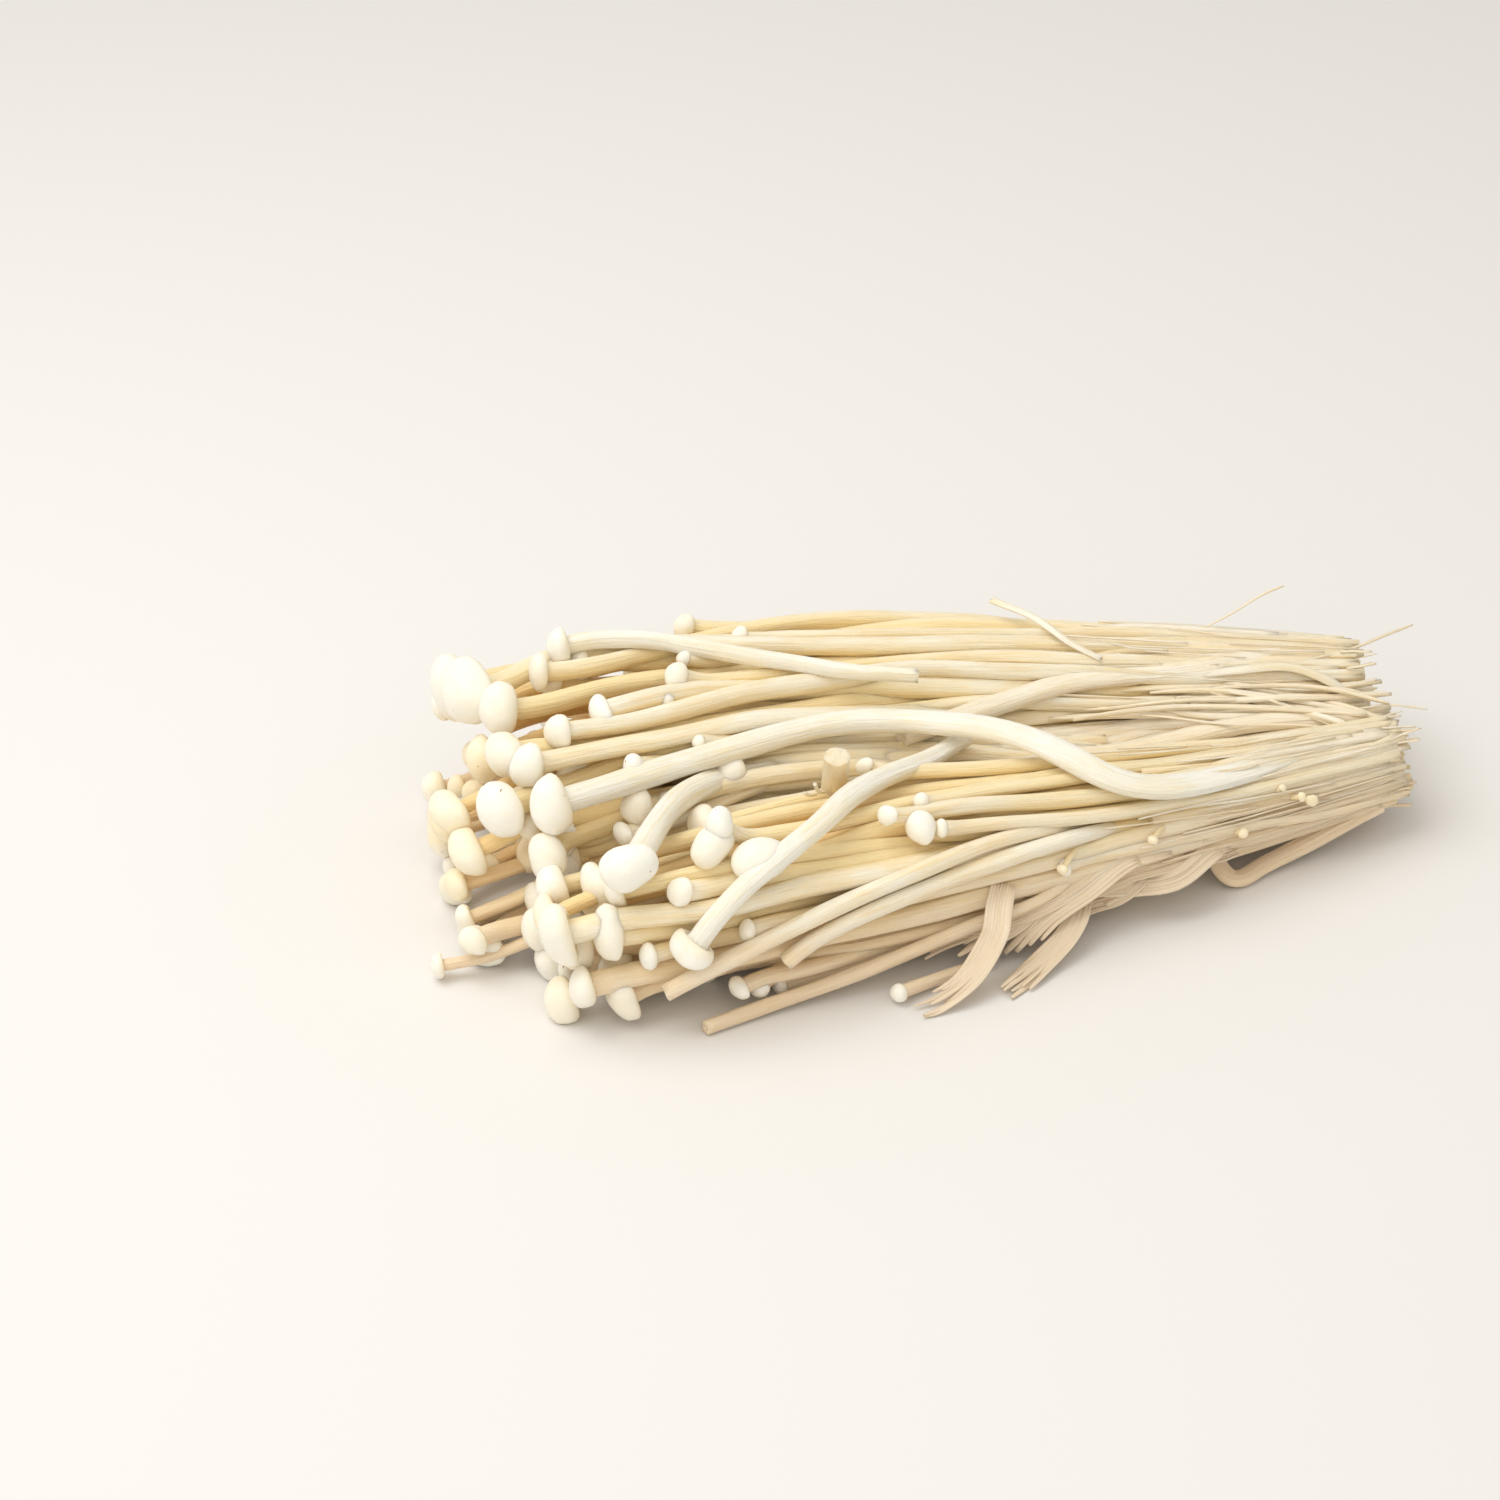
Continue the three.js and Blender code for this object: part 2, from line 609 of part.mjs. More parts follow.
const group = new THREE.Group();

function addNode(name, solid) {
  const mesh = new THREE.Mesh(toGeometry(solid), new THREE.MeshStandardMaterial(flesh));
  mesh.name = name;
  group.add(mesh);
}

addNode('mushroom_bunch', bunchSolid());
for (const [name, part] of Object.entries(loose)) addNode(name, looseSolid(part, 0));

export default group;
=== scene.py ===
import bpy, math
import numpy as np
from mathutils import Matrix, Vector


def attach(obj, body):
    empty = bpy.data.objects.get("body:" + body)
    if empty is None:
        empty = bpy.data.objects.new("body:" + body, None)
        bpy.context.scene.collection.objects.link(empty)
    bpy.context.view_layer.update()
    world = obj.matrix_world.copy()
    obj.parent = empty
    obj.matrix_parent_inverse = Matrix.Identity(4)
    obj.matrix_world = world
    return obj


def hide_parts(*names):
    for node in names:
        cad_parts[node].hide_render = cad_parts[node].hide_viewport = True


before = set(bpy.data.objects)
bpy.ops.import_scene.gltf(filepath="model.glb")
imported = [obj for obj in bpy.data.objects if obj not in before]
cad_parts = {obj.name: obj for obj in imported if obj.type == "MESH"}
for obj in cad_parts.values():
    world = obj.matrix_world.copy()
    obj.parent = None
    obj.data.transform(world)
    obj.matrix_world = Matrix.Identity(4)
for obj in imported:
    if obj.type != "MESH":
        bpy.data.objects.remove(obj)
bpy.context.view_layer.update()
print("frame loaded")

# Everything is worked out in millimetres, as the solids are, and turned into metres in makePiece
mm = 0.001
# How far above the floor every point stays, and the middle of a fibre
clear = {"point": 0.05, "fibre": 0.4}

bunch = {
    "length": 140.0,           # cut ends to the farthest caps
    "cutEnd": 68.0,            # x of the cut ends
    "belly": 0.36,             # height of a lobe's widest place, as a share of its height
    "bluntness": [2.3, 3.2],   # powers of a lobe's section, above its belly and below
    "raggedCut": 3.0,          # the cut ends differ by this much along x
    "floorClear": 0.12,        # the lowest stems lie this far above the floor
    "footTaper": 0.62,         # a stem's thickness at its foot, as a share of the full one
    "fullFrom": 0.45,          # a stem is full from this share of its length
}
along = [0, 0.2, 0.4, 0.6, 0.8, 0.93, 1]    # shares of the length that the lobes' sizes are given at

# upper: tip x, angle round the lobe (0 back, 90 up, 180 front), cap diameter, stem diameter, cap lean.
# rest: how many lie round the back and the underside, and between which angles.
lobes = [
    {
        "middle": [7, 12, 15.5, 15, 11.5, 8.5, 3.5],
        "halfWidth": [9.5, 13, 15.5, 20, 25.5, 26.5, 22],
        "height": [19, 22, 26, 29, 31, 30, 25],
        "lift": [0, 0, 0, 0, 0, 0, 0],
        "upper": [
            [-27.7, 53, 4.2, 2.4, 10], [-51.5, 79, 5.2, 2.8, 10], [-61.9, 48, 9.2, 3.1, 5],
            [-49.4, 76, 5.4, 2.8, 30], [-22, 84, 3.2, 2, 10], [-45, 78, 4.8, 2.8, -15],
            [-61.3, 81, 9.2, 3, 20], [-31.8, 94, 2.4, 2.2, 20], [-34.1, 106, 3.8, 2.3, 35],
            [-58, 94, 7.4, 3.1, 15], [-37, 113, 3, 2.1, 30], [-45, 114, 4.6, 2.9, 0],
            [-51.2, 117, 5, 2.8, 5], [-58.6, 117, 7.2, 2.9, 0], [-45, 135, 3.4, 2.4, 40],
            [-56.3, 124, 6.2, 2.9, 10], [-33.5, 134, 2.2, 2, 20], [-61, 138, 7.8, 3.2, 10],
            [-43.5, 152, 5, 2.6, 25], [-59.2, 160, 6.2, 3, 50], [-46, 161, 3.4, 2.4, 20],
        ],
        "upperFeet": [58, 168],
        "rest": [21, 172, 414],
        "reach": 0.97,
        "seed": 100,
    },
    {
        "middle": [-11, -16.5, -19.5, -21, -25.5, -26, -24],
        "halfWidth": [5.2, 7.4, 9.8, 13.8, 11.5, 8.5, 6],
        "height": [16.5, 19.5, 23.5, 26, 25, 22, 17],
        "lift": [4, 3.5, 1.6, 0, 0, 0, 0],
        "upper": [
            [-11.9, 62, 2.8, 2.2, 20], [-37.5, 117, 4.4, 2.6, 55], [-6.7, 116, 2.6, 2, 20],
            [-50.9, 63, 7, 2.8, -40], [-34.4, 131, 7, 3.1, 75], [-12, 120, 3.2, 2.2, 20],
            [-40.5, 126, 6, 2.9, 70], [-50.9, 152, 7, 3.3, 10], [-8.2, 130, 4.6, 2.6, 35],
            [-42.2, 142, 4.2, 2.8, 30], [-5, 132, 2.4, 2, 20], [-57, 150, 8.4, 3.3, 10],
            [-33.1, 165, 3, 2.2, 15], [-46.7, 168, 4, 2.6, 15], [-55, 196, 6.4, 3.1, 10],
            [-34.5, 214, 3.4, 2.4, 20], [-49.9, 212, 6.4, 3.1, 20], [-32.1, 216, 3.2, 2.3, 30],
            [12.5, 170, 2.4, 1.8, 20], [-28.3, 224, 3, 2, 10],
        ],
        "upperFeet": [66, 206],
        "rest": [13, 212, 414],
        "reach": 0.9,
        "seed": 400,
    },
]
filler = {
    "shortest": 0.74, "stem": [2.1, 3.0], "cap": [3.6, 7.0], "lean": [-6, 34], "jitter": 0.4, "swing": 0.3,
}
settling = {
    "steps": 20,               # stations along the bunch
    "samples": 61,             # points of a settled stem's centre line
    "rounds": 200,
    "push": 0.5,
    "stiffness": 0.24,
    "hold": 0.03,
    "holdTip": 0.35,
    "capShare": 0.6,           # of its radius, how much of a cap stays inside the lobe
    "secondRow": 2.4,          # every other foot of the upper ones lies this deep
    "leanDepth": 4,            # and a leaning tip up to this deep
    "sway": 0.22,              # radians round the lobe
    "swayTurns": 1.1,
    "dive": 0.7,               # mm below the skin
    "diveTurns": 1.4,
    "calm": [4, 8],            # how fast both fade in from the foot and out to the tip
    "muchThicker": 1.3,        # a stem that much thicker than its neighbour takes a quarter of the push
}
bedding = 0.35                 # clear space round a loose mushroom that lies in the bunch


def draw(i, k):
    # Repeatable draw between 0 and 1 for thing i, use k
    s = np.sin(np.asarray(i) * 12.9898 + k * 78.233) * 43758.5453
    return s - np.floor(s)


def mix(a, b, t):
    return a + (b - a) * t


def between(i, k, low, high):
    return mix(low, high, draw(i, k))


def ease(t):
    c = np.clip(t, 0, 1)
    return c * c * (3 - 2 * c)


def points3(x, y, z):
    return np.stack(np.broadcast_arrays(x, y, z), -1).astype(float)


def normalize(v):
    return v / np.maximum(np.linalg.norm(v, axis=-1, keepdims=True), 1e-9)


def numbers(part):
    # One number for each repeat, which its draws are made from
    return part["seed"] + np.arange(part["count"])


def sectionAt(lobeIndex, u, inset):
    # Section of a lobe at u, shrunk by inset: a blunt half oval above the belly, a blunter one below
    sizes = {}
    for key in ("middle", "halfWidth", "height", "lift"):
        byLobe = np.stack([np.interp(u, along, lobe[key]) for lobe in lobes])
        sizes[key] = np.take_along_axis(byLobe, lobeIndex[None], 0)[0]
    belly = mix(sizes["lift"], sizes["height"], bunch["belly"])
    return {
        "y": sizes["middle"],
        "z": belly,
        "wide": np.maximum(0.5, sizes["halfWidth"] - inset),
        "up": np.maximum(0.5, sizes["height"] - belly - inset),
        "down": np.maximum(0.5, belly - sizes["lift"] - inset),
    }


def reachIn(section, dy, dz):
    # How far out (dy, dz) lies in the section: 1 on its skin, where |dy / wide|^p + |dz / high|^p = 1
    power = np.where(dz > 0, *bunch["bluntness"])
    rise = np.where(dz > 0, section["up"], section["down"])
    return (np.abs(dy / section["wide"]) ** power + np.abs(dz / rise) ** power) ** (1 / power)


def skinPoint(section, angle):
    # The ellipse's point at that angle, moved out or in to the section's skin
    rise = np.where(np.sin(angle) > 0, section["up"], section["down"])
    dy = section["wide"] * np.cos(angle)
    dz = rise * np.sin(angle)
    k = reachIn(section, dy, dz)
    return np.stack([section["y"] + dy / k, section["z"] + dz / k], -1)


def onSkin(lobeIndex, u, angle, lift, share=1):
    # Points on a lobe's skin, lift mm outside it, or only that share of the way out to it
    section = sectionAt(np.broadcast_to(lobeIndex, u.shape), u, -lift)
    at = skinPoint(section, angle)
    y, z = mix(section["y"], at[..., 0], share), mix(section["z"], at[..., 1], share)
    return points3(bunch["cutEnd"] - bunch["length"] * u, y, z)


def plantLobe(index, lobe):
    # One row of numbers for each mushroom of a lobe: the upper ones, then the rest
    rows = []
    for n, (x, angle, cap, stem, lean) in enumerate(lobe["upper"]):
        rows.append({
            "lobe": index, "upper": True, "tip": (bunch["cutEnd"] - x) / bunch["length"],
            "tipAngle": math.radians(angle),
            "footAngle": math.radians(mix(*lobe["upperFeet"], n / (len(lobe["upper"]) - 1))),
            "footDepth": (n % 2) * settling["secondRow"],
            "tipDepth": settling["leanDepth"] * math.sin(math.radians(lean)) ** 2,
            "cap": cap / 2, "stem": stem / 2, "lean": math.radians(lean),
        })
    count, start, end = lobe["rest"]
    for n in range(count):
        i = lobe["seed"] + n
        turn = (n + 0.5 + filler["jitter"] * (draw(i, 1) - 0.5)) / count
        angle = math.radians(mix(start, end, turn))
        rows.append({
            "lobe": index, "upper": False,
            "tip": lobe["reach"] * mix(filler["shortest"], 1, ease(draw(i, 2))),
            "tipAngle": angle + filler["swing"] * (draw(i, 3) - 0.5), "footAngle": angle,
            "footDepth": 0, "tipDepth": 0,
            "cap": between(i, 5, *filler["cap"]) / 2, "stem": between(i, 6, *filler["stem"]) / 2,
            "lean": math.radians(between(i, 9, *filler["lean"])),
        })
    return rows


def columns(rows):
    return {key: np.array([row[key] for row in rows]) for key in rows[0]}


def stationRadius(m):
    # Radius of each mushroom at each station: its stem, then its cap at the ones round its tip, then none
    steps = settling["steps"]
    u = np.linspace(0, 1, steps + 1)[None]
    tip = m["tip"][:, None]
    thin = m["stem"][:, None] * mix(bunch["footTaper"], 1, ease(u / bunch["fullFrom"]))
    return np.where(u < tip - 0.5 / steps, thin, np.where(u < tip + 1 / steps, m["cap"][:, None], 0))


def settle(m, laid):
    # Set out each mushroom's wanted place at each station along the bunch. Then, round by round, all push
    # each other aside, straighten, are drawn back a little, and stay inside their lobe and above the floor.
    number = np.arange(len(m["tip"]))
    u = np.linspace(0, 1, settling["steps"] + 1)[None, :]
    tip, cap, stem = m["tip"][:, None], m["cap"][:, None], m["stem"][:, None]
    t = ease(u / tip)
    calm = ease(u * settling["calm"][0]) * ease((tip - u) * settling["calm"][1])
    swayAt = 6.3 * (settling["swayTurns"] * u + draw(number, 7)[:, None])
    diveAt = 6.3 * (settling["diveTurns"] * u + draw(number, 10)[:, None])
    angle = mix(m["footAngle"][:, None], m["tipAngle"][:, None], t) + settling["sway"] * np.sin(swayAt) * calm
    depth = mix(m["footDepth"][:, None], m["tipDepth"][:, None], t)
    depth = depth + settling["dive"] * (1 + np.sin(diveAt)) * calm
    lobeIndex = np.broadcast_to(m["lobe"][:, None], t.shape)
    us = np.broadcast_to(u, t.shape)
    goal = skinPoint(sectionAt(lobeIndex, us, stem + depth), angle)
    radius = stationRadius(m)
    isCap = radius == cap
    hold = np.where(m["upper"][:, None] & isCap, settling["holdTip"], settling["hold"])[..., None]
    inset = np.maximum(radius * np.where(isCap, settling["capShare"], 1), stem * bunch["footTaper"])
    section = sectionAt(lobeIndex, us, inset)
    lowest = np.where(radius > 0, radius, stem) + bunch["floorClear"]

    # Of each pair's push, the share that each takes: all of it beside what is laid already
    fixed = np.concatenate([np.ones(len(laid["place"]), bool), np.zeros(len(number), bool)])
    r = np.concatenate([laid["radius"], radius])
    ra, rb = r[:, None], r[None]
    thick = settling["muchThicker"]
    share = np.where(ra > thick * rb, 0.25, np.where(rb > thick * ra, 0.75, 0.5))
    share = np.where(fixed[None, :, None], 1, share) * ~fixed[:, None, None]
    met = (ra > 0) & (rb > 0) & ~np.eye(len(r), dtype=bool)[..., None]
    place = goal.copy()
    for _ in range(settling["rounds"]):
        p = np.concatenate([laid["place"], place])
        apart = p[None] - p[:, None]
        gap = np.hypot(apart[..., 0], apart[..., 1]) + 1e-6
        push = settling["push"] * np.where(met, np.maximum(ra + rb - gap, 0), 0) / gap * share
        place = place - (apart * push[..., None]).sum(1)[len(laid["place"]):]
        bend = np.zeros_like(place)
        bend[:, 1:-1] = place[:, :-2] + place[:, 2:] - 2 * place[:, 1:-1]
        place = place + settling["stiffness"] * bend + hold * (goal - place)
        dy, dz = place[..., 0] - section["y"], place[..., 1] - section["z"]
        out = np.maximum(reachIn(section, dy, dz), 1)
        place = np.stack([section["y"] + dy / out, np.maximum(section["z"] + dz / out, lowest)], -1)
    return place


# What lies loose on and beside the bunch: points from the broken or cut end to the cap
loose = {
    "loose_mushroom_1": {
        "points": [[-0.5, 1.4, 27], [-8.4, 3.6, 27.6], [-16.3, 6.7, 28.4], [-23, 9.1, 29.2], [-29.5, 12, 30],
                   [-36.1, 14.8, 30.6], [-43.1, 16, 31], [-47.8, 15.6, 31.4]],
        "stem": 2.5, "cap": 5.2, "lean": -11,
    },
    "loose_mushroom_2": {
        "points": [[65, -11.4, 15.4], [54.4, -14.4, 16.2], [42.3, -18.9, 17.2], [32, -23.2, 18.4],
                   [21.8, -24.7, 20.6], [14.5, -18.2, 24], [7, -11, 24.6], [-3, -4.4, 23.6], [-13, -1.8, 23],
                   [-24, -3.6, 23.4], [-34, -6.6, 23.4], [-47, -10.6, 23.6], [-54, -12.4, 23.4]],
        "stem": 3.5, "cap": 7.4, "lean": -6, "soften": 9, "look": {"flatFoot": 0.5, "spread": 0.4},
    },
    "loose_mushroom_3": {
        "points": [[-15.6, 1.1, 18], [-22.7, -1.3, 18.6], [-29.2, -4.8, 19.4], [-35.6, -11.2, 21.4],
                   [-40.9, -18.6, 23.2], [-45.2, -26.1, 24.4], [-48.5, -31.3, 23.6]],
        "stem": 3.4, "cap": 7.2, "lean": 17,
    },
    "loose_mushroom_4": {
        "points": [[4.6, -5.1, 19.8], [-2, -10.9, 21], [-9.4, -16.9, 23], [-16.6, -23.1, 24.4],
                   [-22.1, -28.5, 24.6], [-28.8, -33.4, 23.2], [-34.1, -35.7, 20.6], [-38.5, -36.9, 17.2],
                   [-41, -37.3, 14.6]],
        "stem": 3.2, "cap": 5.8, "lean": -11,
    },
    "loose_mushroom_5": {
        "points": [[0.5, -33.1, 1.3], [-6.5, -35.2, 1.2], [-13.1, -38, 1.5]],
        "stem": 2.0, "cap": 2.8, "lean": 0,
    },
    "broken_stem": {
        "points": [[-16.7, -13.7, 19], [-16.9, -16.7, 27]],
        "stem": 3.3, "look": {"flutes": 0.1, "taper": 0.96}, "tone": 0.7,
    },
    "bent_stem": {
        "points": [[63, -16.4, 6], [57.3, -17, 4], [50, -18.6, 2.4], [44.1, -20.7, 1.6], [40.4, -22.6, 1.3],
                   [38.7, -22.6, 1.6], [37.5, -21.4, 2.6], [37.1, -20.2, 4.2], [37.6, -19.6, 6]],
        "stem": 2.2, "look": {"flutes": 0.12, "oval": 0.22},
    },
    "torn_strand_1": {
        "points": [[1.6, -33.4, 10], [0.6, -35.6, 7.8], [-0.7, -36.3, 5.6], [-4.6, -39.3, 3],
                   [-8.9, -40.6, 1.2], [-12.3, -41.3, 0.8]],
        "stem": 3.0, "flat": 0.26,
    },
    "torn_strand_2": {
        "points": [[13.4, -31, 4.5], [11.1, -33.2, 3], [8, -35.3, 1.8], [4, -38.2, 1], [0.4, -40.8, 0.8]],
        "stem": 2.8, "flat": 0.28,
    },
}


def smoothLine(points, samples):
    # Centripetal Catmull-Rom curve through the points, spaced evenly along its length
    p = np.array(points, float)
    p = np.concatenate([[2 * p[0] - p[1]], p, [2 * p[-1] - p[-2]]])
    s = np.linspace(0, len(p) - 3, 600)
    n = np.minimum(s.astype(int), len(p) - 4)
    f = (s - n)[:, None]
    a, b, c, d = p[n], p[n + 1], p[n + 2], p[n + 3]
    d0, d1, d2 = [np.sqrt(np.linalg.norm(v, axis=1))[:, None] for v in (b - a, c - b, d - c)]
    t1 = ((b - a) / d0 - (c - a) / (d0 + d1) + (c - b) / d1) * d1
    t2 = ((c - b) / d1 - (d - b) / (d1 + d2) + (d - c) / d2) * d1
    line = b + t1 * f + (3 * c - 3 * b - 2 * t1 - t2) * f ** 2 + (2 * b - 2 * c + t1 + t2) * f ** 3
    run = np.concatenate([[0], np.cumsum(np.linalg.norm(np.diff(line, axis=0), axis=1))])
    want = np.linspace(0, run[-1], samples)
    return np.stack([np.interp(want, run, line[:, k]) for k in range(3)], 1)


def crossings():
    # Where each loose mushroom crosses each station, for the others to give way to
    places, radii = [], []
    for part in loose.values():
        if "cap" not in part:
            continue
        line = smoothLine(part["points"], 81)[::-1]
        x = bunch["cutEnd"] - bunch["length"] * np.linspace(0, 1, settling["steps"] + 1)
        at = np.stack([np.interp(x, line[:, 0], line[:, k]) for k in (1, 2)], 1)
        inside = (x >= line[0, 0]) & (x <= line[-1, 0])
        nearCap = ~inside & (np.abs(line[0, 0] - x) < part["cap"])
        at[~inside] = line[0, 1:]
        places.append(at)
        radii.append(np.where(inside, part["stem"] / 2 + bedding, np.where(nearCap, part["cap"] / 2, 0)))
    return {"place": np.array(places), "radius": np.array(radii)}


def stemLines(m, place):
    # Centre line of each settled stem from its foot to its cap: cubic between the stations
    foot = bunch["cutEnd"] - bunch["raggedCut"] * draw(np.arange(len(m["tip"])), 8)
    tip = bunch["cutEnd"] - bunch["length"] * m["tip"]
    x = mix(foot[:, None], tip[:, None], np.linspace(0, 1, settling["samples"])[None])
    s = (bunch["cutEnd"] - x) / bunch["length"] * settling["steps"]
    n = np.clip(s.astype(int), 0, settling["steps"] - 1)
    f = (s - n)[..., None]

    def at(k):
        return np.take_along_axis(place, np.clip(n + k, 0, settling["steps"])[..., None], 1)

    a, b, c, d = at(-1), at(0), at(1), at(2)
    yz = 0.5 * (2 * b + (c - a) * f + (2 * a - 5 * b + 4 * c - d) * f ** 2 + (3 * b - a - 3 * c + d) * f ** 3)
    return np.concatenate([x[..., None], yz], -1)


print("layout rules ready")

# One mushroom's surface: rings of points along the stem and over the cap, closed by a point at each end
shape = {
    "sides": 24,
    "rings": 56,
    "crowding": 0.35,           # how much closer together the rings lie towards the cap
    "bend": [1.5, 9],           # a leaning tip bends over this length, and over more the further it leans
    "taper": 0.62,
    "flat": 1.0,
    "spread": 0,                # how much broader a flat stem gets, as a power of its flatness
    "footSwell": 0.16,          # the feet run into each other by this share
    "flutes": 0.085,            # depth of the ribs at the foot, as a share of the radius
    "smoothed": [0.2, 0.75],    # the share of it that is left from this share of the length on
    "ribs": [5, 8],
    "oval": 0.09,
    "lumps": [0.03, 2.6],       # depth as a share of the radius, and mm along the stem for each radian
    "turning": [0.9, 17],       # the ribs wind round by this many radians, over so many mm for each radian
    "wander": 0.16,             # sideways waves of the stem, mm
    "waves": [4.1, 6.7],        # and mm along the stem for each radian of them
    "endRings": [0.94, 0.5],    # rings of a cut face, as shares of the stem's radius
    "roughCut": 0.12,
    "point": 0.1,               # its closing points lie this far along it from its two ends, mm
    "capRoom": 0.95,            # a tip stays this many cap radii above the floor
    "grainShift": 90,           # each mushroom's noise is taken from up to this far away, mm
}
# The cap's profile gives radius and height in cap radii, from the gills under the rim to the top of the dome
capShape = {
    "profile": [
        [0.50, 0.16], [0.62, 0.06], [0.76, 0.03], [0.88, 0.09], [0.96, 0.21], [0.998, 0.37], [0.995, 0.54],
        [0.95, 0.72], [0.87, 0.88], [0.75, 1.03], [0.60, 1.15], [0.43, 1.24], [0.26, 1.295], [0.10, 1.32],
    ],
    "top": 1.325,
    "tall": [0.72, 1.05],       # squat buttons to taller eggs
    "pressed": [0.04, 0.16],    # how oval, as a share of the radius
    "cornered": 0.035,
    "dent": 0.045,
    "askew": 0.12,
    "neck": [0.2, 1.03],        # up to this height the gills stay outside the stem by this share
}


def sampled(lines, at):
    # Points of each line at sample numbers that need not be whole
    k = np.minimum(at.astype(int), lines.shape[1] - 2)[..., None]
    return mix(np.take_along_axis(lines, k, 1), np.take_along_axis(lines, k + 1, 1), at[..., None] - k)


def bendTips(lines, lean, away):
    # The last few millimetres of a stem curve towards the side that its cap leans to: a quadratic curve
    samples = lines.shape[1]
    span = shape["bend"][0] + shape["bend"][1] * np.abs(np.sin(lean))
    run = np.linalg.norm(np.diff(lines, axis=1), axis=2).sum(1)
    start = (1 - span / run)[:, None]
    at = start * (samples - 1)
    k = at.astype(int)[..., None]
    tangent = normalize(np.take_along_axis(lines, k + 1, 1) - np.take_along_axis(lines, k, 1))[:, 0]
    bendStart = sampled(lines, at)[:, 0]
    out = normalize(away - tangent * (away * tangent).sum(1, keepdims=True))
    aim = tangent * np.cos(lean)[:, None] + out * np.sin(lean)[:, None]
    half = bendStart + tangent * (span / 2)[:, None]
    tip = half + aim * (span / 2)[:, None]
    v = np.clip((np.linspace(0, 1, samples)[None] - start) / (1 - start), 0, 1)[..., None]
    curved = (1 - v) ** 2 * bendStart[:, None] + 2 * v * (1 - v) * half[:, None] + v ** 2 * tip[:, None]
    return np.where(v > 0, curved, lines)


def band(points, grain, dome, share, crown):
    # Some rings with the values that colour them, spread over all their points
    values = {"dome": dome, "share": share, "crown": crown}
    values = {key: np.broadcast_to(value, points.shape[:3]) for key, value in values.items()}
    return {"points": points, "grain": grain, **values}


def capRings(cap, stem, seed, p, theta, middle, side, axis, length):
    # Rings of caps and their top points: the profile set on middle along axis, pressed oval, dented and askew
    out = np.cross(side, axis)
    wide, high = np.array(capShape["profile"]).T[:, None, :, None]
    size = cap[:, None, None]
    tall = between(seed, 11, *capShape["tall"])[:, None, None]
    press = between(seed, 12, *capShape["pressed"])[:, None, None] * np.cos(2 * theta + p[7])
    press = press + capShape["cornered"] * np.cos(3 * theta + p[2])
    dent = capShape["dent"] * np.sin(3 * theta + p[0] + 4 * high) * np.sin(2.2 * high + p[1])
    askew = capShape["askew"] * np.cos(theta + p[5]) * wide * ease(high * 2)
    h = (high + askew) * tall * size
    neck = stem[:, None, None] * np.where(high < capShape["neck"][0], capShape["neck"][1], 0)
    r = np.maximum(wide * size, neck) * (1 + press + dent)
    ring = np.cos(theta)[..., None] * side[:, :, None] + np.sin(theta)[..., None] * out[:, :, None]
    points = middle[:, None, None] + r[..., None] * ring + h[..., None] * axis[:, :, None]
    grain = points3(r * np.cos(theta), r * np.sin(theta), length[..., None] + h)
    rows = len(capShape["profile"])
    dome = ease(np.arange(rows) / 3)[None, :, None]
    top = middle + axis[:, 0] * capShape["top"] * size[:, 0] * tall[:, 0]
    return band(points, grain, dome, 1, np.linspace(0, 1, rows)[None, :, None]), top


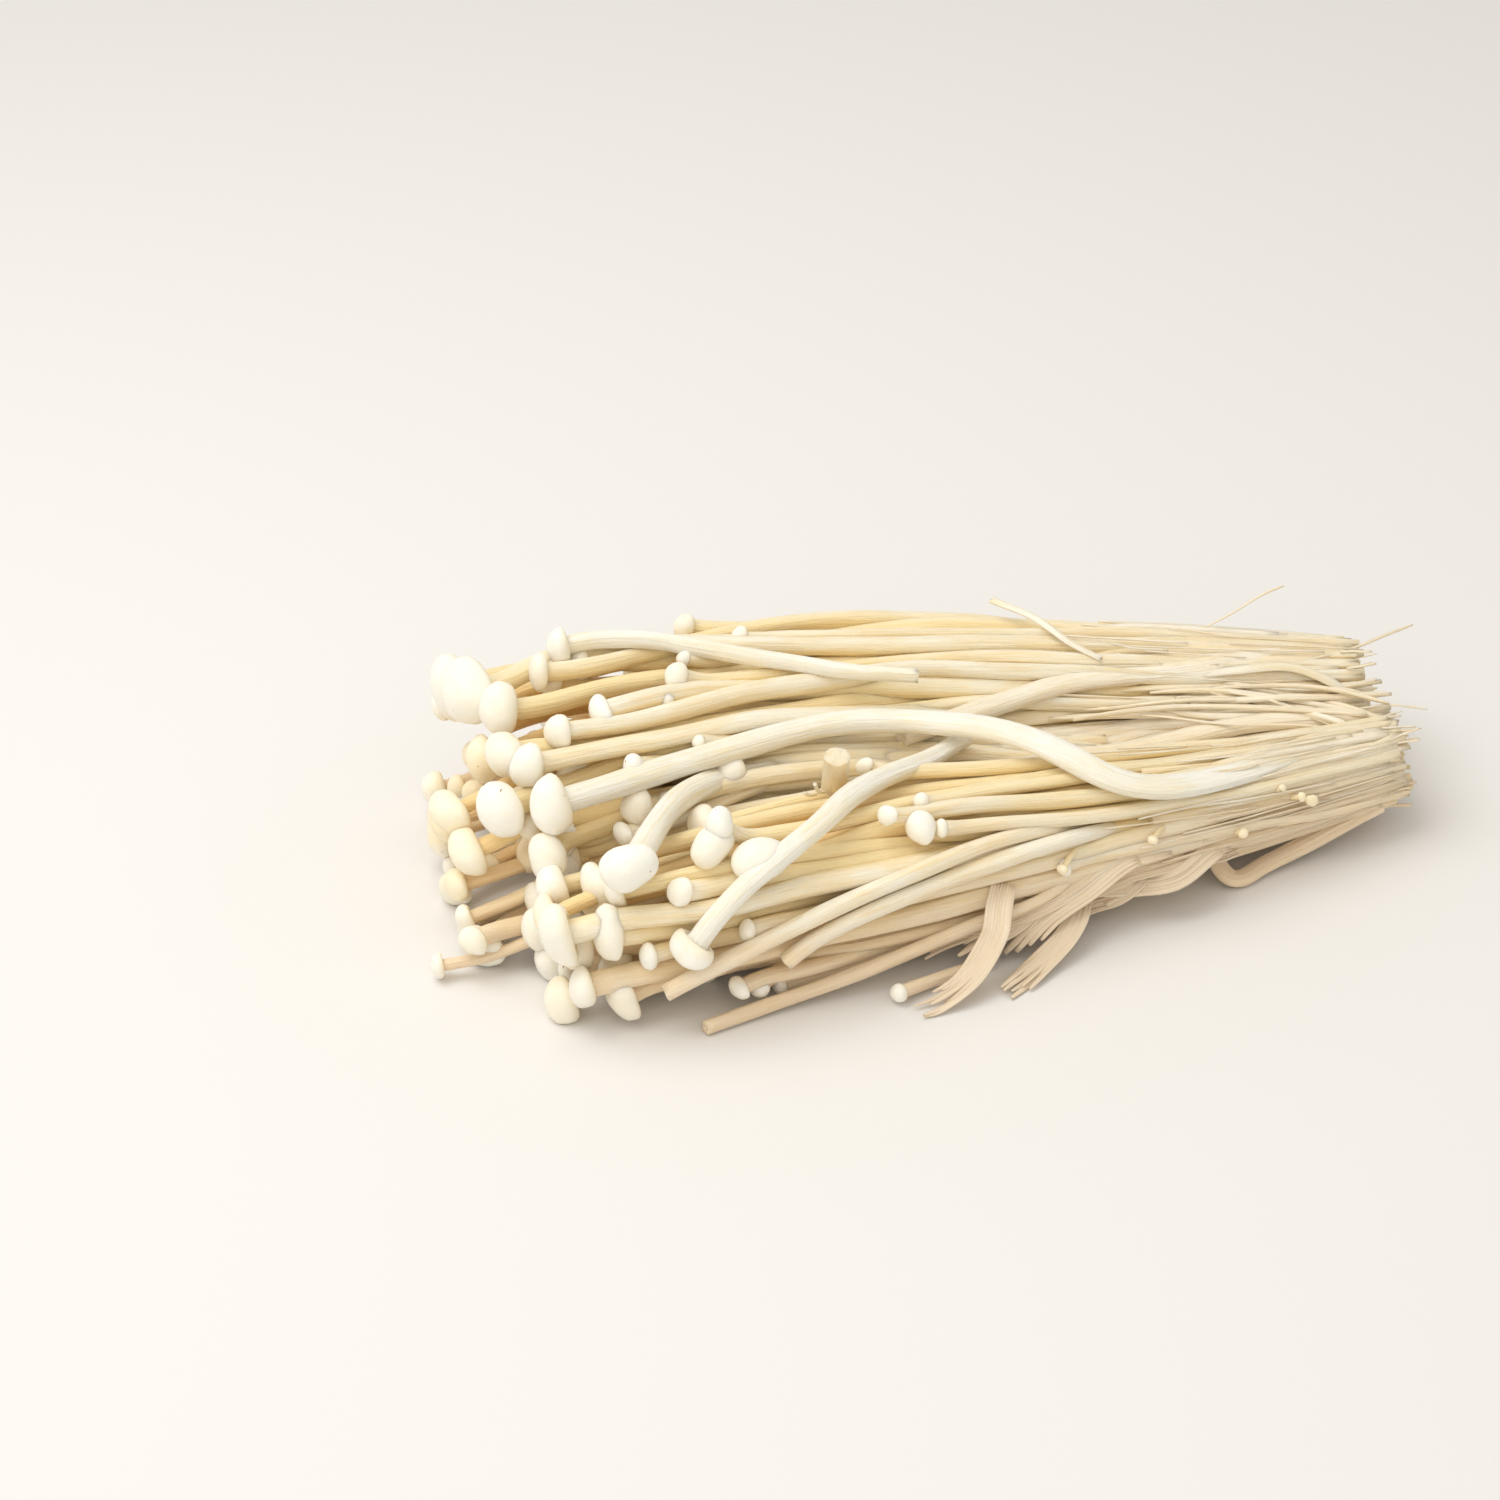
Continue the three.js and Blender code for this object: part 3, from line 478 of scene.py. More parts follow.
def mushroomRings(lines, stem, cap, lean, away, seed, look):
    # lines: n centre lines. Returns ring points (n, rings, sides, 3), two end points and what colours them.
    n = len(lines)
    away = np.broadcast_to(np.asarray(away, float), (n, 3))
    if cap is not None:
        lines = bendTips(lines, lean, away)
    low = np.maximum(0, (stem if cap is None else look["capRoom"] * cap) - lines[:, -1, 2])[:, None]
    lines = lines.copy()
    lines[..., 2] += low * np.linspace(0, 1, lines.shape[1]) ** 6      # lifts a tip that is below the floor
    sides = look["sides"]
    length = np.linalg.norm(np.diff(lines, axis=1), axis=2).sum(1)[:, None]
    q = np.linspace(0, 1, look["rings"])[None].repeat(n, 0)
    t = q * (1 + look["crowding"] - look["crowding"] * q)
    centre = sampled(lines, t * (lines.shape[1] - 1))
    tangent = normalize(np.gradient(centre, axis=1))
    tangent[:, 0] = normalize(lines[:, 1] - lines[:, 0])
    side = normalize(np.cross(tangent, away[:, None]))
    out = np.cross(side, tangent)

    p = [2 * np.pi * draw(seed, 20 + j)[:, None, None] for j in range(8)]
    theta = (np.arange(sides) / sides * 2 * np.pi)[None, None]
    tt = t[..., None]
    wave = tt * length[..., None]
    drift = [look["wander"] * np.sin(wave / w + p[j]) * ease(tt * 3) for j, w in enumerate(look["waves"])]
    centre = centre + side * drift[0] + out * drift[1]

    # radius = taper * (1 + oval + ribs + lumps), deepest at the foot, where the fibres stand out
    foot = look["taper"] * (1 + look["footSwell"])
    taper = stem[:, None, None] * mix(foot, 1, ease(tt / bunch["fullFrom"]))
    rib = look["flutes"] * mix(1, look["smoothed"][0], ease(tt / look["smoothed"][1]))
    turn = look["turning"][0] * np.sin(wave / look["turning"][1] + p[2])
    ribs = np.cos(look["ribs"][0] * theta + p[4] + turn) + 0.6 * np.cos(look["ribs"][1] * theta + p[5] - turn)
    lumps = look["lumps"][0] * np.sin(wave / look["lumps"][1] + p[6])
    radius = taper * (1 + look["oval"] * np.cos(2 * theta + p[3] + turn) + rib * ribs + lumps)
    flat = look["flat"]
    if "flatFoot" in look:
        flat = mix(look["flatFoot"], flat, ease(t * 1.7 - 0.2)[..., None, None])
    broad = flat ** (-look["spread"])
    across = broad * np.cos(theta)[..., None] * side[:, :, None]
    across = across + flat * np.sin(theta)[..., None] * out[:, :, None]
    stemPoints = centre[:, :, None] + radius[..., None] * across
    grain = points3(radius * np.cos(theta), radius * np.sin(theta), wave)

    # the cut foot is flat, with a crisp edge and a rough face
    inwards = np.array(look["endRings"])[None, :, None, None]
    rough = look["roughCut"] * np.cos(3 * theta + p[1])[..., None] * inwards

    def cutFace(k, facing):
        lift = facing * rough * tangent[:, k, None, None]
        return mix(centre[:, k, None, None], stemPoints[:, k, None], inwards) + lift

    face = band(cutFace(0, 1)[:, ::-1], grain[:, :1] * inwards[:, ::-1], 0, 0, 0)
    bands = [face, band(stemPoints, grain, 0, tt, 0)]
    if cap is None:
        top = centre[:, -1] + tangent[:, -1] * look["point"]
        bands.append(band(cutFace(-1, -1), grain[:, -1:] * inwards, 0, 1, 0))
    else:
        axis = tangent[:, -1:]
        capBand, top = capRings(cap, stem, seed, p, theta, centre[:, -1], side[:, -1:], axis, length)
        bands.append(capBand)
    made = {key: np.concatenate([each[key] for each in bands], 1) for key in bands[0]}
    made["ends"] = np.stack([centre[:, 0] + tangent[:, 0] * look["point"], top], 1)
    made["seed"] = seed
    return made


def ringFaces(rings, sides):
    # Quads between the rings and a fan at each end, facing out; the end points come after the rings
    k = np.arange(rings - 1)[:, None] * sides
    s = np.arange(sides)[None]
    e = (s + 1) % sides
    quads = np.stack([k + s, k + sides + s, k + sides + e, k + e], -1).reshape(-1, 4)
    last = (rings - 1) * sides
    low, high = rings * sides, rings * sides + 1
    s, e = s[0], e[0]
    fans = [np.stack([s, e, s * 0 + low], -1), np.stack([last + e, last + s, s * 0 + high], -1)]
    return quads, np.concatenate(fans)


def bodiesOf(made):
    # Flatten n bodies of rings into points, faces and one value per point for each attribute
    n, rings, sides, _ = made["points"].shape
    quads, fans = ringFaces(rings, sides)
    each = rings * sides + 2
    shift = (np.arange(n) * each)[:, None, None]
    points = np.concatenate([made["points"].reshape(n, -1, 3), made["ends"]], 1)
    points[..., 2] = np.maximum(points[..., 2], clear["point"])
    grain = made["grain"].reshape(n, -1, 3)
    grain = np.concatenate([grain, grain[:, [0, -1]] * [0, 0, 1]], 1)
    grain = grain + shape["grainShift"] * draw(made["seed"], 31)[:, None, None]
    values = {}
    for key in ("dome", "share", "crown"):
        v = made[key].reshape(n, -1)
        values[key] = np.concatenate([v, v[:, [0, -1]]], 1).ravel()
    cut = np.zeros((n, each))
    cut[:, :2 * sides] = 1
    cut[:, rings * sides] = 1
    values["cut"] = cut.ravel()
    values["tone"] = np.repeat(made.get("tone", draw(made["seed"], 32)), each)
    return {
        "points": points.reshape(-1, 3), "quads": (quads[None] + shift).reshape(-1, 4),
        "fans": (fans[None] + shift).reshape(-1, 3), "grain": grain.reshape(-1, 3), **values,
    }


def depthBelow(points):
    # How far each point lies under the skin of the nearer lobe, in mm
    u = np.clip((bunch["cutEnd"] - points[:, 0]) / bunch["length"], 0, 1)
    depths = []
    for index in range(len(lobes)):
        section = sectionAt(np.full(len(u), index), u, 0)
        dy, dz = points[:, 1] - section["y"], points[:, 2] - section["z"]
        out = reachIn(section, dy, dz)
        depths.append((1 - out) * np.hypot(dy, dz) / np.maximum(out, 0.05))
    return np.maximum(*depths)


def makePiece(name, node, material, groups, sunk=1.0):
    # One mesh of closed bodies, with its attributes for the material; sunk scales the painted shade that
    # darkens it the deeper it lies inside
    bodies = [bodiesOf(made) for made in groups]
    starts = np.cumsum([0] + [len(body["points"]) for body in bodies])
    for body, start in zip(bodies, starts):
        body["quads"] = body["quads"] + start
        body["fans"] = body["fans"] + start
    whole = {key: np.concatenate([body[key] for body in bodies]) for key in bodies[0]}
    points, quads, fans = whole["points"], whole["quads"], whole["fans"]
    mesh = bpy.data.meshes.new(name)
    mesh.vertices.add(len(points))
    mesh.vertices.foreach_set("co", (points * mm).ravel())
    corners = np.concatenate([quads.ravel(), fans.ravel()])
    mesh.loops.add(len(corners))
    mesh.loops.foreach_set("vertex_index", corners)
    mesh.polygons.add(len(quads) + len(fans))
    loopStarts = np.concatenate([np.arange(len(quads)) * 4, len(quads) * 4 + np.arange(len(fans)) * 3])
    mesh.polygons.foreach_set("loop_start", loopStarts)
    mesh.polygons.foreach_set("use_smooth", np.ones(len(loopStarts), bool))
    mesh.update(calc_edges=True)
    # Depth under the skin, which the material turns into painted shade
    whole["deep"] = depthBelow(points) * sunk
    for key in ("dome", "share", "crown", "cut", "tone", "deep"):
        mesh.attributes.new(key, "FLOAT", "POINT").data.foreach_set("value", whole[key])
    mesh.attributes.new("grain", "FLOAT_VECTOR", "POINT").data.foreach_set("vector", whole["grain"].ravel())
    mesh.materials.append(material)
    piece = bpy.data.objects.new(name, mesh)
    bpy.context.scene.collection.objects.link(piece)
    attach(piece, "root")
    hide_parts(node)
    print(name, 2 * len(quads) + len(fans), "triangles")


# Flesh: cream stems with lengthwise fibres, white caps, pale ragged cuts; painted shade that is golden where
# it lies deep, browner low down and creamier at the caps' rims
fleshLook = {
    "stem": (0.950, 0.845, 0.655),
    "foot": (0.945, 0.830, 0.655),
    "streak": (0.925, 0.755, 0.480),
    "pale": (0.970, 0.925, 0.815),
    "warm": (0.915, 0.755, 0.475),
    "cap": (0.945, 0.915, 0.835),
    # rim: painted shade, creamier and darker towards the cap's rim
    "rim": (0.935, 0.835, 0.640),
    "capShade": (0.930, 0.860, 0.710),
    # hollow, gold and dark: painted shade, golden in the gaps between the stems and darker deeper under the
    # skin
    "hollow": (0.955, 0.770, 0.430),
    "gold": (0.950, 0.710, 0.360),
    "dark": (0.910, 0.640, 0.300),
    # low: painted shade with warm reflected light, towards the floor
    "low": (0.860, 0.680, 0.470),
    "speck": (0.420, 0.260, 0.110),
    "cut": (0.955, 0.850, 0.640),
    "roughness": 0.42,
    "subsurface": 0.4,
    "radius": (1.0, 0.92, 0.78),
    "scale": 0.0009,
    "bump": 0.75,
    "bumpHeight": 0.00045,
}
# Loose mushrooms have whiter stems
paleFlesh = {
    **fleshLook,
    "stem": (0.955, 0.905, 0.785),
    "foot": (0.955, 0.895, 0.765),
    "streak": (0.940, 0.840, 0.630),
    "pale": (0.965, 0.940, 0.875),
}
# Thin strands are whiter too, and too thin for light to spread in them
strandFlesh = {
    **fleshLook,
    "subsurface": 0.0,
    "stem": (0.960, 0.885, 0.735),
    "foot": (0.955, 0.865, 0.705),
    "streak": (0.935, 0.800, 0.560),
}
# Torn strands, lying low by the front lobe and hanging under its flank, are duller and browner: painted shade
tornShadeLook = {
    **strandFlesh,
    "stem": (0.870, 0.750, 0.590),
    "foot": (0.840, 0.700, 0.530),
    "streak": (0.820, 0.680, 0.510),
    "pale": (0.920, 0.850, 0.740),
    "hollow": (0.780, 0.590, 0.390),
    "gold": (0.740, 0.530, 0.320),
    "low": (0.810, 0.670, 0.490),
    "bump": 0.5,
}
# Noises in the flesh, in turns per mm across the stem, across it again and along it
patterns = {
    "fibre": {"scale": (2.4, 2.4, 0.07), "detail": 4, "roughness": 0.6},
    "thread": {"scale": (6.0, 6.0, 0.16), "detail": 2, "roughness": 0.5},
    "cloud": {"scale": (0.3, 0.3, 0.09), "detail": 2, "roughness": 0.5},
    "spot": {"scale": (0.9, 0.9, 0.9), "detail": 3, "roughness": 0.65},
    "dirt": {"scale": (1.1, 1.1, 1.1), "detail": 0, "roughness": 0.5},
}


class Nodes:
    # A material's nodes: inputs given as numbers or colours are set on their sockets, and others are linked
    def __init__(self, name):
        self.material = bpy.data.materials.new(name)
        self.material.use_nodes = True
        self.tree = self.material.node_tree
        self.tree.nodes.clear()

    def add(self, kind, inputs, settings=None, output=0):
        node = self.tree.nodes.new("ShaderNode" + kind)
        for key, value in (settings or {}).items():
            setattr(node, key, value)
        for key, value in inputs.items():
            socket = node.inputs[key]
            if isinstance(value, bpy.types.NodeSocket):
                self.tree.links.new(value, socket)
            elif socket.type == "RGBA":
                socket.default_value = (*value, 1)
            else:
                socket.default_value = value
        return node.outputs[output] if node.outputs else None

    def ramp(self, source, low, high):
        # 0 to 1 as the source goes from low to high, smoothly
        inputs = {"Value": source, "From Min": low, "From Max": high}
        return self.add("MapRange", inputs, {"interpolation_type": "SMOOTHSTEP"}, "Result")

    def blend(self, amount, first, second):
        return self.add("Mix", {0: amount, 6: first, 7: second}, {"data_type": "RGBA"}, 2)

    def math(self, operation, first, second):
        return self.add("Math", {0: first, 1: second}, {"operation": operation})

    def attribute(self, name, output="Fac"):
        return self.add("Attribute", {}, {"attribute_name": name}, output)

    def noise(self, vector, scale, detail, roughness):
        stretched = self.add("Mapping", {"Vector": vector, "Scale": scale})
        inputs = {"Vector": stretched, "Scale": 1.0, "Detail": detail, "Roughness": roughness}
        return self.add("TexNoise", inputs)


def fleshMaterial(name, look):
    nodes = Nodes(name)
    grain = nodes.attribute("grain", "Vector")
    dome, share, deep, crown, tone, cut = [
        nodes.attribute(key) for key in ("dome", "share", "deep", "crown", "tone", "cut")]
    fibre, thread, cloud, spot, dirt = [nodes.noise(grain, **pattern) for pattern in patterns.values()]

    def tint(colour, key, source, low, high, most=1.0):
        # Brings in a colour of the look, up to that much, as the source goes from low to high
        return nodes.blend(nodes.math("MULTIPLY", nodes.ramp(source, low, high), most), colour, look[key])

    stem = tint(look["foot"], "stem", share, 0.0, 0.55)
    stem = tint(stem, "streak", fibre, 0.45, 0.64)
    stem = tint(stem, "pale", cloud, 0.42, 0.62, 0.8)
    stem = nodes.blend(nodes.math("MULTIPLY", tone, 0.55), stem, look["warm"])
    stem = tint(stem, "streak", thread, 0.5, 0.62, 0.35)
    # Painted shade: golden in the gaps between the stems, darker the deeper a point lies under the lobe's
    # skin
    stem = tint(stem, "hollow", deep, 0.2, 2.4, 0.85)
    stem = tint(stem, "gold", deep, 2.4, 8.0)
    stem = tint(stem, "dark", deep, 8.0, 14.0)
    place = nodes.add("TexCoord", {}, output="Object")
    height = nodes.add("SeparateXYZ", {0: place}, output="Z")
    # Painted shade with warm reflected light: darker and browner towards the floor
    stem = tint(stem, "low", height, 0.018, 0.003, 0.85)

    cap = tint(look["cap"], "capShade", spot, 0.45, 0.75, 0.5)
    # Painted shade: the rim and the underside creamier and darker than the white top
    cap = tint(cap, "rim", crown, 0.5, 0.12)
    cap = nodes.blend(nodes.math("MULTIPLY", tone, 0.28), cap, look["warm"])
    cap = tint(cap, "speck", dirt, 0.87, 0.90)
    # Painted shade on caps that lie deep among the others
    cap = tint(cap, "hollow", deep, 3.0, 10.0, 0.5)
    colour = tint(nodes.blend(dome, stem, cap), "cut", cut, 0.0, 1.0)

    stemRelief = nodes.math("ADD", fibre, nodes.math("MULTIPLY", thread, 0.5))
    capRelief = nodes.math("MULTIPLY", spot, 0.35)
    relief = nodes.add("Mix", {0: dome, 2: stemRelief, 3: capRelief}, {"data_type": "FLOAT"})
    normal = nodes.add("Bump", {"Height": relief, "Strength": look["bump"], "Distance": look["bumpHeight"]})
    surface = nodes.add("BsdfPrincipled", {
        "Base Color": colour, "Normal": normal, "Roughness": look["roughness"], "IOR": 1.38,
        "Specular IOR Level": 0.4, "Subsurface Weight": look["subsurface"],
        "Subsurface Radius": look["radius"], "Subsurface Scale": look["scale"],
    })
    nodes.add("OutputMaterial", {"Surface": surface})
    return nodes.material


flesh = fleshMaterial("mushroomFlesh", fleshLook)
pale = fleshMaterial("paleFlesh", paleFlesh)
fine = fleshMaterial("strandFlesh", strandFlesh)
paintedShadeTorn = fleshMaterial("tornShadeLook", tornShadeLook)
print("flesh ready")

planted = columns([row for index, lobe in enumerate(lobes) for row in plantLobe(index, lobe)])
laid = crossings()
places = settle(planted, laid)
lines = stemLines(planted, places)
print("bunch settled:", len(lines), "mushrooms")

# Deeper mushrooms, seen only at the cut end, between the caps and in the gaps.
# Each ring has its lobe, its count and how deep its feet lie.
inner = {
    "rings": [[0, 18, 5.6], [0, 13, 8.4], [0, 8, 11.4], [1, 10, 5.0], [1, 5, 7.6]],
    "shortest": 0.74, "tipDepth": [0.5, 1.4], "cap": [3.2, 6.6], "stem": [2.0, 2.8], "lean": [-0.3, 0.4],
    "jitter": 0.6, "swing": 0.5, "seed": 700,
}


def innerRow(ring, n):
    # The numbers of one deeper mushroom, as plantLobe has them
    index, count, depth = inner["rings"][ring]
    i = inner["seed"] + 30 * ring + n
    angle = 2 * math.pi * (n + inner["jitter"] * draw(i, 1)) / count
    return {
        "lobe": index, "upper": False, "tip": lobes[index]["reach"] * between(i, 2, inner["shortest"], 1.0),
        "tipAngle": angle + inner["swing"] * (draw(i, 3) - 0.5), "footAngle": angle, "footDepth": depth,
        "tipDepth": depth * between(i, 4, *inner["tipDepth"]), "cap": between(i, 5, *inner["cap"]) / 2,
        "stem": between(i, 6, *inner["stem"]) / 2, "lean": between(i, 9, *inner["lean"]),
    }


innerRows = columns([innerRow(ring, n) for ring, row in enumerate(inner["rings"]) for n in range(row[1])])
around = {
    "place": np.concatenate([laid["place"], places]),
    "radius": np.concatenate([laid["radius"], stationRadius(planted)]),
}
innerLines = stemLines(innerRows, settle(innerRows, around))
print("deeper mushrooms settled:", len(innerLines))


def bunchPiece(name, m, lines, chosen, firstSeed=0):
    # One mesh of the chosen mushrooms, whose caps lean away from the middle of their lobe
    part = {key: value[chosen] for key, value in m.items()}
    tips = lines[chosen, -1]
    section = sectionAt(part["lobe"], part["tip"], 0)
    away = normalize(points3(0.0, tips[:, 1] - section["y"], tips[:, 2] - section["z"] + 0.01))
    sizes = [part[key] for key in ("stem", "cap", "lean")]
    made = mushroomRings(lines[chosen], *sizes, away, firstSeed + chosen, shape)
    makePiece(name, "mushroom_bunch", flesh, [made])


for index, name in enumerate(("backMushrooms", "frontMushrooms")):
    bunchPiece(name, planted, lines, np.where(planted["lobe"] == index)[0])
bunchPiece("deepMushrooms", innerRows, innerLines, np.arange(len(innerLines)), 1000)


def drawnPoints(box, seed, k):
    # Points drawn in a box of three ranges, with draws k to k + 2
    return points3(*[between(seed, k + j, *box[j]) for j in range(3)])


def bowedLines(start, end, bow, samples):
    # start to end + bow * 4t(1 - t)
    t = np.linspace(0, 1, samples)[None, :, None]
    return mix(start[:, None], end[:, None], t) + bow[:, None] * (4 * t * (1 - t))


# More between the lobes' heads, from a common root under the long stem
hollow = {
    "count": 42, "seed": 1100,
    "foot": [[12, 30], [-9, 4], [8, 15]], "tip": [[-58, -26], [-17, 3], [7, 20]],
    "bow": [[0, 0], [-2, 2], [3.2, 3.2]], "cap": [3.6, 6.4], "stem": [2.0, 2.9], "lean": [-0.3, 0.5],
}
seed = numbers(hollow)
hollowLines = bowedLines(drawnPoints(hollow["foot"], seed, 1), drawnPoints(hollow["tip"], seed, 4),
                         drawnPoints(hollow["bow"], seed, 6), settling["samples"])
made = mushroomRings(hollowLines, between(seed, 8, *hollow["stem"]) / 2, between(seed, 9, *hollow["cap"]) / 2,
                     between(seed, 10, *hollow["lean"]), [0, -0.3, 1], seed, shape)
makePiece("hollowMushrooms", "mushroom_bunch", flesh, [made])


def single(part, seed, look, samples=61):
    # Rings of one loose mushroom or stem
    line = smoothLine(part["points"], samples)[None]
    for _ in range(part.get("soften", 0)):
        line[:, 1:-1] = 0.5 * line[:, 1:-1] + 0.25 * (line[:, :-2] + line[:, 2:])
    cap = np.array([part["cap"] / 2]) if "cap" in part else None
    lean = np.radians([part.get("lean", 0.0)])
    settings = {**look, "flat": part.get("flat", 1.0)}
    stem = np.array([part["stem"] / 2])
    made = mushroomRings(line, stem, cap, lean, [0, -0.3, 1], np.array([seed]), settings)
    made["tone"] = np.array([part.get("tone", 0.1)])
    return made


# Fibres: each is a line from a point to another, bowed to one side and waved, with its own thickness
fibreLook = {
    **shape, "sides": 8, "rings": 26, "taper": 0.9, "footSwell": 0, "flutes": 0.08, "oval": 0.15,
    "wander": 0.0,
}
# slow and quick: how many waves there are along a fibre
fibreWaves = {"slow": [0.4, 1.1], "quick": [1.2, 2.2], "quickShare": 0.3, "rising": 0.4}


def fibreLines(start, end, bow, waves, seed, samples=25):
    # A bowed line with a slow sine wave across and a quicker one across and above
    t = np.linspace(0, 1, samples)[None, :, None]

    def wave(k, turns):
        phase = 2 * np.pi * draw(seed, 40 + k)[:, None, None]
        return np.sin(6.3 * t * between(seed, 44 + k, *turns)[:, None, None] + phase) - np.sin(phase)

    slow, quick = wave(0, fibreWaves["slow"]), wave(1, fibreWaves["quick"])
    across = normalize(np.cross(end - start, [0.1, 0.3, 1.0]))[:, None]
    above = normalize(np.cross(across[:, 0], end - start))[:, None]
    size = waves[:, None, None]
    line = bowedLines(start, end, bow, samples) + across * size * (slow + fibreWaves["quickShare"] * quick)
    return line + above * size * fibreWaves["rising"] * quick


def fibreRings(lines, radius, seed, look, ends=0.35, flat=1.0):
    # Thin strands that narrow at both ends to that share
    made = mushroomRings(lines, radius, None, None, [0.05, -0.25, 1], seed, {**look, "flat": flat})
    q = np.linspace(0, 1, made["points"].shape[1])[None, :, None, None]
    thin = mix(ends, 1, ease(q * 6)) * mix(ends, 1, ease((1 - q) * 5))
    middle = made["points"].mean(2, keepdims=True)
    made["points"] = middle + (made["points"] - middle) * thin
    return made


def ribbonFibres(lines, width, fibres, parting, seed, up):
    # Each line becomes fibres side by side across its width, which part a little towards the free end
    n, samples, _ = lines.shape
    t = np.linspace(0, 1, samples)[None, :, None]
    side = normalize(np.cross(normalize(np.gradient(lines, axis=1)), up))
    lines, side = np.repeat(lines, fibres, 0), np.repeat(side, fibres, 0)
    width = np.repeat(width, fibres)[:, None, None]
    each = np.repeat(seed, fibres) * 20 + np.tile(np.arange(fibres), n)
    draws = [draw(each, k)[:, None, None] for k in range(6)]
    place = np.tile(np.arange(fibres) / (fibres - 1) - 0.5, n)[:, None, None]
    part = parting * ease((t - 0.6) * 2.2) * mix(-0.2, 1, draws[1])
    ripple = 0.12 * np.sin(8 * t + 6.3 * draws[2]) * t
    curl = 0.5 * np.sin(5 * t + 6.3 * draws[3]) * ease((t - 0.5) * 2)
    made = lines + side * (place * width * (1 + part) + ripple) + up * curl
    made[..., 2] = np.maximum(made[..., 2], clear["fibre"])
    kept = mix(0.78, 1, draws[4])[..., 0] * np.linspace(0, samples - 1, samples)[None]
    return sampled(made, kept), each, (width / fibres * mix(0.75, 1.3, draws[5]))[:, 0, 0]


looseLook = {**shape, "sides": 32, "rings": 72, "taper": 0.8, "footSwell": 0.0, "flutes": 0.05, "oval": 0.06}
# root: how far a torn strand starts inside the flank
torn = {"fibres": 8, "parting": 0.45, "flat": 0.4, "root": [1.6, 3.2, 1.6]}
tornRings = {**fibreLook, "sides": 10, "rings": 28, "flutes": 0.04}

for n, (name, part) in enumerate(loose.items()):
    # Torn strands take the duller, browner flesh of painted shade
    material = pale if "cap" in part else paintedShadeTorn if "flat" in part else flesh
    if "flat" in part:
        root = np.array(part["points"][0]) + torn["root"]
        line = smoothLine([list(root)] + part["points"], 34)[None]
        fibres, seed, radius = ribbonFibres(line, np.array([part["stem"]]), torn["fibres"], torn["parting"],
                                            np.array([120 + n]), np.array([0, -0.3, 1.0]))
        made = fibreRings(fibres, radius, seed, tornRings, 0.35, torn["flat"])
    else:
        made = single(part, 40 + n, {**looseLook, **part.get("look", {})})
    makePiece(name + "Skin", name, material, [made], 0.35)

# Core of each lobe, the pressed underside and a long ball that joins the lobes, glimpsed between the stems
core = {
    "from": 0.05, "reach": [0.84, 0.78], "footDepth": 3.2, "capDepth": 7.0, "deepens": [0.3, 0.7],
    "narrows": 0.62, "ribs": [9, 0.03], "rings": 40, "sides": 40, "ballRings": 41, "ballSides": 48,
}
balls = [
    {"middle": [0, 0, 4.2], "half": [24, 9, 5], "ribs": [14, 0.03], "twist": 2},
    {"middle": [24, -4.8, 6.2], "half": [43, 8.6, 4.6], "ribs": [12, 0.02], "twist": 3},
]


def solidRings(points, seed):
    # Closed body from rings (rings, sides, 3)
    made = band(points[None], points[None, ..., [1, 2, 0]], 0, 0.3, 0)
    return {**made, "ends": points[None, [0, -1]].mean(2), "seed": np.array([seed])}


def coreRings(index):
    # The lobe's section, shrunk and ribbed, and rounded off towards its far end
    u = np.linspace(core["from"], core["reach"][index], core["rings"])[:, None]
    past = np.clip((u / core["reach"][index] - core["narrows"]) / (1 - core["narrows"]), 0, 1)
    share = np.sqrt(np.clip(1 - past ** 2, 0.0004, 1))
    start, end = core["deepens"]
    depth = mix(core["footDepth"], core["capDepth"], ease((u - start) / (end - start)))
    angle = np.linspace(0, 2 * np.pi, core["sides"], endpoint=False)[None]
    u, angle, depth = np.broadcast_arrays(u, angle, depth)
    ribs = 1 + core["ribs"][1] * np.sin(core["ribs"][0] * angle + 3 * np.sin(20 * u)) * share
    return onSkin(index, u, angle, -depth, share * ribs)


def ballRings(ball):
    # A flattened ball with ribs along it that twist a little, cut off level with the floor
    s = np.linspace(-1, 1, core["ballRings"])[:, None] * 0.999
    angle = np.linspace(0, 2 * np.pi, core["ballSides"], endpoint=False)[None]
    r = np.sqrt(1 - s ** 2) * (1 + ball["ribs"][1] * np.cos(ball["ribs"][0] * angle + ball["twist"] * s))
    made = points3(-s, r * np.cos(angle), r * np.sin(angle)) * ball["half"] + ball["middle"]
    made[..., 2] = np.maximum(made[..., 2], 0)
    return made


bodies = [coreRings(0), coreRings(1), ballRings(balls[0]), ballRings(balls[1])]
makePiece("coreAndUnderside", "mushroom_bunch", flesh,
          [solidRings(body, 61 + n) for n, body in enumerate(bodies)])

# Between the lobes: many thin strands from the cut end, crossing each other under the long pale stem.
# level: the share of its foot's height that a tip keeps.
middle = {
    "count": 44, "level": 0.5,
    "foot": [[64.5, 69], [-8.5, 1.5], [3, 16.2]], "tip": [[-10, 22], [-9, 1], [9, 17]],
    "bow": [[0, 0], [-2, 2], [-1, 1.2]], "waves": [0.2, 0.9], "radius": [0.6, 1.35], "samples": 41,
    "look": {**fibreLook, "sides": 12, "rings": 40, "flutes": 0.1}, "seed": 1500,
}
